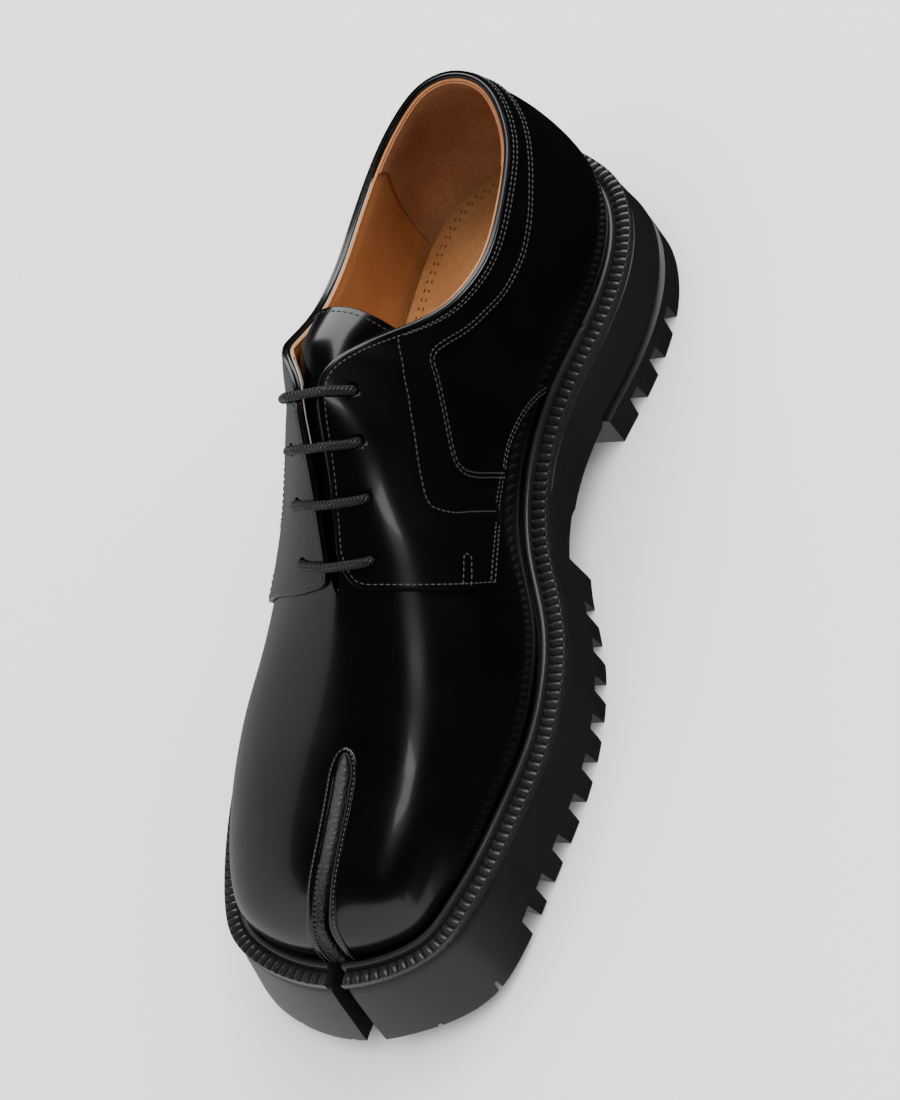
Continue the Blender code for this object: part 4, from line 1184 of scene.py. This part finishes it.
def station_shares(stations, count):
    """Shares from toe to heel, closer at both ends, that also hit these stations."""
    inner = (SOLE_LENGTH - np.array(stations)) / SOLE_LENGTH
    ends = 0.5 - 0.5 * np.cos(np.linspace(0, math.pi, count))
    near = [share for share in ends if all(abs(inner - share) > 0.004)]
    return np.array(sorted(near + list(inner)))


def sole_bottom(station):
    """Underside of the outsole before its tread is cut: heel seat, waist, forefoot."""
    rear = np.where(station < HEEL_FRONT + 3, HEEL_TOP + 0.8, WAIST_BOTTOM)
    return np.where(station > 129, tread_face(station), rear)


# rings of the outsole: inset from the outline, share of the wall's height
SOLE_RINGS = [(-SOLE_FLARE, 0.0), (-SOLE_FLARE, 0.12), (-SOLE_FLARE * 0.6, 0.45), (-0.5, 0.72), (0.0, 0.9),
              (0.25, 0.97), (0.8, 1.0)]
# rings of the heel block: inset from the outline, height
HEEL_RINGS = [(-SOLE_FLARE, 0.0), (-SOLE_FLARE, HEEL_TOP - 3.7), (-1.2, HEEL_TOP - 3.4),
              (1.6, HEEL_TOP - 2.6), (1.6, HEEL_TOP)]


def make_outsole():
    shares = station_shares([96, 99, 127, 130], 151)
    rings = []
    for inset, lift in SOLE_RINGS:
        flat = ring(inset, shares)
        start, end = TOE_FLARE_RUN
        flare = ease((flat[:, 1] - start) / (end - start))[:, None] * (1 - lift)
        outward = ring(inset - 1.0, shares) - flat
        reach = TOE_FLARE[1] + (TOE_FLARE[-1] - TOE_FLARE[1]) * ease((22 - flat[:, :1]) / 44)
        flat = flat + outward * reach * flare
        low, high = sole_bottom(flat[:, 1]), welt_top(flat[:, 1]) - WELT_THICK - GAP
        rings.append(np.column_stack([flat, low + (high - low) * lift]))
    sole = ringed("lug_sole", rings)
    cut(sole, [plan_tool(WAIST_PLAN, BELOW, WAIST_BOTTOM)])
    levels = [float(tread_face((row[0] + row[2]) / 2)) + LUG_DEPTH for row in FOREFOOT_GAPS]
    cut(sole, [bar_tool(row, *LUG_GAP, level, GAP_LEAN) for row, level in zip(FOREFOOT_GAPS, levels)])
    cut(sole, [channel_tool(CHANNEL, STUDS)])
    fan_level = float(tread_face(285)) + SLIT_DEPTH
    cut(sole, [bar_tool(row, *TOE_SLIT, fan_level) for row in TOE_SLITS])
    cut(sole, [split_tool(*SOLE_SLIT, BELOW, 70.0)])
    finished(sole, 30, RUBBER, "rubber", "outsole")


def make_heel():
    round_back = 12 * (1 - np.sin(np.linspace(0.1, math.pi / 2, 16)))
    stations = np.r_[HEEL_FRONT, np.linspace(90, 12, 40), round_back]
    rings = []
    for inset, level in HEEL_RINGS:
        halves = inset_halves(inset)
        low = halves[0][-1, 1]
        reach = low + (stations - stations[-1]) * (HEEL_FRONT - low) / HEEL_FRONT
        medial, lateral = (at_stations(half, reach) for half in halves)
        front = ((medial[0, 0] + lateral[0, 0]) / 2, HEEL_FRONT + 0.4)
        flat = np.vstack([[front], medial, lateral[-2::-1]])
        rings.append(np.column_stack([flat, np.full(len(flat), level)]))
    heel = ringed("heel_block", rings)
    cut(heel, [channel_tool(HEEL_CHANNEL, HEEL_STUDS)])
    cut(heel, [bar_tool(row, *HEEL_GAP, LUG_DEPTH, GAP_LEAN) for row in HEEL_GAPS])
    cut(heel, [bar_tool(row, *HEEL_SLIT, SLIT_DEPTH) for row in HEEL_SLITS])
    finished(heel, 30, RUBBER, "rubber", "heel")


def welt_line():
    """Outer edge of the welt from one side of the slit round the heel to the other, and its inward way."""
    fine = outline_curve(60)
    toe = int(np.argmin(np.hypot(fine[:, 0] - WELT_SLIT_MIDDLE, fine[:, 1] - SOLE_LENGTH)))
    fine = np.roll(fine, -toe, 0)
    inward = inward_of(fine)
    in_slit = (np.abs(fine[:, 0] - WELT_SLIT_MIDDLE) < WELT_SLIT_HALF) & (fine[:, 1] > SOLE_LENGTH / 2)
    fine, inward = fine[~in_slit], inward[~in_slit]
    if fine[len(fine) // 4, 0] < 0:
        fine, inward = fine[::-1], inward[::-1]
    length = run_along(fine)
    ribs = int(round(length[-1] / RIB_PITCH))
    spots = np.linspace(0, length[-1], ribs * RIB_STEPS + 1)
    return take(fine, length, spots), take(inward, length, spots), spots / length[-1] * ribs


def make_welt():
    """Storm welt: a ribbed strip with a smooth lip beside the upper and one butt joint on the medial side."""
    line, inward, count = welt_line()
    bead = np.clip(1 - np.abs(2 * (count % 1.0) - 1) ** 2.6, 0, 1)
    joint = np.where((np.abs(line[:, 1] - WELT_JOINT) < 0.7) & (line[:, 0] > 0), 1.0, 0.0)
    inset, rise, share = np.array(WELT_SECTION).T
    flat = line[:, None] + inward[:, None] * inset[None, :, None]
    sink = RIB_DEPTH * (1 - bead)[:, None] * share[None, :]
    sink = sink + 0.5 * joint[:, None] * (rise > 2.0)[None, :]
    height = welt_top(flat[..., 1]) - WELT_THICK + rise[None, :] - sink
    points = np.concatenate([flat, height[..., None]], -1)
    item = shaped_grid("storm_welt", np.concatenate([points, points[:, :1]], 1))
    weld(item, FINE_WELD / 10)
    close_ends(item)
    finished(item, 42, WELTING, "welt", "welt")


# laces

# how far the middle of each lace bar hangs towards the toe and down
LACE_BOW = np.array([0.0, 3.0, -0.8])


def lace_path(station):
    """Points of one lace bar: out of the lateral and the medial hole and across the throat."""
    over = OVERLAY_TOP + LACE_RADIUS
    ends = []
    for side in (1, -1):
        share, rise = hole_spot(side, station)
        hole, normal = on_upper(side, share, rise, 0.0), upper_normal(side, share, rise)
        across = unit(on_upper(side, share, rise + 0.04, 0.0) - hole)
        half = [hole + normal * up + across * out for up, out in
                ((0.4, -0.2), (1.9, 0.0), (over - 0.3, 0.6), (over + 0.35, 2.0))]
        for part in (0.45, 0.75, 1.0):
            half.append(on_upper(side, share, min(rise + (1 - rise) * part, 0.995), over + 0.35))
        ends.append(half)
    knots = np.array(ends[0] + [(ends[0][-1] + ends[1][-1]) / 2] + ends[1][::-1])
    bow = np.sin(np.linspace(0, math.pi, len(knots))) ** 2
    return knots + bow[:, None] * LACE_BOW


def make_laces():
    for number, station in enumerate(LACE_STATIONS, 1):
        knots = lace_path(station)
        length = run_along(knots)
        path = blur(take(knots, length, np.linspace(0, length[-1], 90)), 2.6)
        up = np.tile(np.array([0.0, 1.0, 0.25]), (len(path), 1))
        item = swept("lace_%d" % number, path, up, ellipse(LACE_RADIUS, LACE_RADIUS, 20))
        finished(item, 60, CORD, "waxed_cord", "lace_bar_%d" % number)


# stitches

# rough millimetres in one share and in one rise, for even spacing along a stitched line
SHARE_LENGTH = 400
RISE_LENGTH = 60


def dense_line(spots, count=900):
    spots = np.array(spots, float)
    steps = np.hypot(np.diff(spots[:, 0]) * SHARE_LENGTH, np.diff(spots[:, 1]) * RISE_LENGTH)
    reach = np.r_[0, np.cumsum(steps)]
    where = np.linspace(0, reach[-1], count)
    return blur(np.stack([pchip(reach, column, where) for column in spots.T], 1), 1.5)


def surface_row(side, spots, lift, aside=0.0):
    """Points and normals of a stitched row on the upper; aside moves the row across the leather."""
    line = dense_line(spots)
    share, rise = same_place(side, line[:, 0]), line[:, 1]
    if isinstance(lift, tuple):
        lift = np.interp(line[:, 0], *lift)
    points, normals = on_upper(side, share, rise, lift), upper_normal(side, share, rise)
    across = np.cross(unit(np.gradient(points, axis=0)), normals) * side
    return points + across * aside, normals


def stitch_spots(points, normals, pitch=STITCH_PITCH, length=STITCH_LENGTH, thick=THREAD):
    """Middle, direction and normal of each stitch along a row, with its length and thickness."""
    reach = run_along(points)
    count = max(2, int(reach[-1] / pitch))
    centers = (np.arange(count) + 0.5) * reach[-1] / count
    ahead = take(points, reach, centers + 0.3) - take(points, reach, centers - 0.3)
    return take(points, reach, centers), ahead, take(normals, reach, centers), length, thick


def sew(name, rows, material, slot):
    """One joined mesh of stitches, each a small rounded bead of thread lying in the leather."""
    seed = primitive(bpy.ops.mesh.primitive_uv_sphere_add, segments=6, ring_count=4, radius=1.0)
    shape = np.array([v.co for v in seed.data.vertices])
    faces = [list(p.vertices) for p in seed.data.polygons]
    bpy.data.objects.remove(seed, do_unlink=True)
    points, loops = [], []
    for centers, ahead, normals, length, thick in rows:
        ahead = unit(turned(ahead))
        across = unit(np.cross(turned(normals), ahead))
        up = np.cross(ahead, across)
        half, radius = length / 2000, thick / 2000
        for spot, a, b, c in zip(place(centers), ahead, across, up):
            start = len(points) * len(shape)
            bead = shape[:, 2:] * half * a + shape[:, :1] * radius * b + shape[:, 1:2] * radius * c
            points.append(spot + bead)
            loops += [[start + i for i in face] for face in faces]
    mesh = bpy.data.meshes.new(name)
    mesh.from_pydata(np.vstack(points).tolist(), [], loops)
    mesh.update()
    item = bpy.data.objects.new(name, mesh)
    bpy.context.scene.collection.objects.link(item)
    face_out(item)
    finished(item, 80, material, slot)


def quarter_rows(side):
    """Stitched rows of one side: topline, facing and front edge, band, panel and seam, inner line, tack."""
    top, under = OVERLAY_TOP + 0.08, COUNTER_WALL + 0.12
    off_the_quarter = ((0.46, 0.50), (top, under))
    collar = row_below_edge(side, np.linspace(0.604, 0.999, 90), EDGE_ROW + ROW_APART)
    front = [(share, rise) for across, share, rise in FRONT_EDGES[side]]
    edge = [(share, 0.9999) for share in np.linspace(front[-1][0] + 0.012, 0.999, 110)]
    rows = [surface_row(side, collar, top), surface_row(side, front + edge, top, -EDGE_ROW)]
    for line, lift, asides in (
            (SEAM_LINE, off_the_quarter, (-0.65 * ROW_APART, 0.65 * ROW_APART)),
            (PANEL_LINE + BAND_LINE[1:], top, (0.0, ROW_APART)),
            (BACK_SEAM_LINE, under, (0.0, ROW_APART)),
            (FACING_LINE, top, (0.0,)),
            (TACK_LINE, top, (0.0,))):
        rows += [surface_row(side, line, lift, aside) for aside in asides]
    return [stitch_spots(*row) for row in rows]


def rim_rows(path, up, walls):
    """Row on the rim of the split and two rows on the wall of its channel."""
    across = unit(np.cross(unit(np.gradient(path, axis=0)), up))
    rows = [(path + across * 1.15 + up * 0.72, up)] + walls
    return [stitch_spots(points, normals, *RIM_STITCH) for points, normals in rows]


def tongue_rows(grid):
    """One row across the tongue, just inside its free end."""
    along = np.linalg.norm(grid[-1:] - grid, axis=2).mean(1)
    row = int(np.argmin(np.abs(along - 2.4)))
    normals = unit(np.cross(grid[row + 1] - grid[row - 1], np.gradient(grid[row], axis=0)))
    normals *= np.sign(normals[len(normals) // 2, 2])
    points = grid[row] + normals * 0.08
    return [stitch_spots(points[14:-14], normals[14:-14])]


def lining_rows():
    """Row of pale stitches on the lining, just under its top edge."""
    rows = []
    for side in (1, -1):
        spots = row_below_edge(side, np.linspace(0.56, 0.999, 90), 3.2)
        points, normals = surface_row(side, spots, LINING_LIFT * 0.62 - LINING_WALL - 0.1)
        rows.append(stitch_spots(points, -normals, *LINING_STITCH))
    return rows


def sock_rows():
    """Double dotted row round the heel of the sock."""
    rows = []
    for inset in SOCK_ROWS:
        medial, lateral = (half[half[:, 1] < SOCK_ROWS_END] for half in inset_halves(inset))
        arc = np.vstack([medial, lateral[::-1][1:]])
        points = np.column_stack([arc, welt_top(arc[:, 1]) + SOCK_RISE + 0.02])
        rows.append(stitch_spots(points, np.tile([0.0, 0.0, 1.0], (len(points), 1)), *SOCK_STITCH))
    return rows


# studio

CAMERA_EYE = (540.0, -469.4, 873.4)
CAMERA_RIGHT = (0.87433, 0.21524, -0.43499)
CAMERA_UP = (0.02062, 0.87899, 0.47639)
CAMERA_BACK = (0.48489, -0.42550, 0.76409)
CAMERA_FOCAL_PIXELS = 3560.0
IMAGE_HEIGHT = 1100.0
SENSOR = 36.0
# the light wall: azimuth, elevation of its top edge, brightness
WALL_ROWS = [
    (-126, 42, 0.14), (-112, 42, 0.3), (-98, 42, 0.52), (-84, 42.5, 0.72), (-70, 43, 0.82),
    (-56, 40, 0.92), (-42, 41, 1.02), (-28, 42, 1.05), (-14, 38, 1.02), (0, 35.5, 1.0), (14, 32.5, 1.02),
    (28, 28.5, 1.05), (42, 24, 1.05), (56, 17.5, 1.05), (64, 12.5, 1.05), (70, 3, 1.03), (77, -20, 1.0)]
WALL_AWAY = 1.5
WALL_FOOT = -2.4
PANEL_TURN = 7
WALL_TINT = (1.0, 0.96, 1.0)
WHITE = (1.0, 1.0, 1.0)
NIGHT = (0.008, 0.008, 0.0083, 1.0)
# height of the point on the shoe that every lamp is aimed at
AIM = Vector((0, 0, 0.05))
# name, azimuth and elevation of the lamp, distance, width, height, roll, brightness, seen in polished faces
SOFTBOXES = [
    ("strip_box", 84, 43, 1.5, 0.11, 0.32, 30, 6.5, True),
    ("back_wall", 172, 38, 1.7, 3.2, 1.3, 0, 4.6, True),
    ("right_fill", 95, 12, 1.8, 2.0, 1.0, 0, 0.7, False),
    ("ceiling", 20, 82, 2.4, 3.4, 3.4, 0, 3.8, False)]


def make_camera():
    data = bpy.data.cameras.new("camera")
    data.sensor_width = SENSOR
    data.lens = CAMERA_FOCAL_PIXELS / IMAGE_HEIGHT * SENSOR
    data.clip_start, data.clip_end = 0.05, 50.0
    item = bpy.data.objects.new("camera", data)
    bpy.context.scene.collection.objects.link(item)
    turn = Matrix([CAMERA_RIGHT, CAMERA_UP, CAMERA_BACK]).transposed().to_4x4()
    item.matrix_world = Matrix.Translation(Vector(CAMERA_EYE) / 1000.0) @ turn
    bpy.context.scene.camera = item


def toward(azimuth, elevation):
    a, e = math.radians(azimuth), math.radians(elevation)
    return Vector((math.sin(a) * math.cos(e), -math.cos(a) * math.cos(e), math.sin(e)))


def add_lamp(name, back, spot, wide, high, roll, brightness, tint, glossy):
    """Soft rectangular lamp at a spot; its brightness doesn't change with its size."""
    data = bpy.data.lights.new(name, "AREA")
    data.shape = "RECTANGLE"
    data.size, data.size_y = wide, high
    data.energy = brightness * math.pi * wide * high
    data.color = tint
    item = bpy.data.objects.new(name, data)
    bpy.context.scene.collection.objects.link(item)
    item.location = spot
    turn = back.to_track_quat("Z", "Y").to_matrix() @ Matrix.Rotation(math.radians(roll), 3, "Z")
    item.rotation_euler = turn.to_euler()
    item.visible_glossy = glossy


def make_lights():
    """A curved wall of light in narrow panels, four soft boxes and a nearly black room."""
    wide = 2 * WALL_AWAY * math.tan(math.radians(PANEL_TURN / 2))
    turns, tops, levels = np.array(WALL_ROWS).T
    for azimuth in np.arange(turns[0], turns[-1] + 1, PANEL_TURN):
        top, brightness = np.interp(azimuth, turns, tops), float(np.interp(azimuth, turns, levels))
        head = WALL_AWAY * math.tan(math.radians(top))
        back = toward(azimuth, 0)
        spot = back * WALL_AWAY + AIM + Vector((0, 0, (head + WALL_FOOT) / 2))
        add_lamp("wall_panel", back, spot, wide, head - WALL_FOOT, 0, brightness, WALL_TINT, True)
    for name, azimuth, elevation, distance, wide, high, roll, brightness, glossy in SOFTBOXES:
        back = toward(azimuth, elevation)
        add_lamp(name, back, back * distance + AIM, wide, high, roll, brightness, WHITE, glossy)
    world = bpy.data.worlds.new("studio")
    world.use_nodes = True
    world.node_tree.nodes["Background"].inputs["Color"].default_value = NIGHT
    bpy.context.scene.world = world


def make_floor():
    floor = named(primitive(bpy.ops.mesh.primitive_plane_add, size=8.0), "floor")
    floor.data.materials.append(studio_paper())
    floor.visible_glossy = False
    floor.visible_shadow = False


make_camera()
make_lights()
make_floor()
make_vamp()
for side_name, shoe_side in (("medial", 1), ("lateral", -1)):
    make_quarter("quarter_" + side_name, shoe_side)
    make_counter("back_panel_" + side_name, shoe_side)
make_lining()
make_heel_grip()
make_topline_fold()
tongue_grid = make_tongue()
make_sock()
rim_path, rim_up, split_rows = make_split()
make_outsole()
make_heel()
make_welt()
make_laces()
sew("stitching_medial", quarter_rows(1), THREAD_BLACK_SHEEN, "polished_leather")
sew("stitching_lateral", quarter_rows(-1), THREAD_BLACK_SHEEN, "polished_leather")
sew("stitching_split", rim_rows(rim_path, rim_up, split_rows), THREAD_BLACK_SHEEN, "polished_leather")
sew("stitching_tongue", tongue_rows(tongue_grid), THREAD_BLACK_SHEEN, "polished_leather")
sew("stitching_sock", sock_rows(), THREAD_TAN, "lining")
sew("stitching_lining", lining_rows(), THREAD_PALE, "lining")
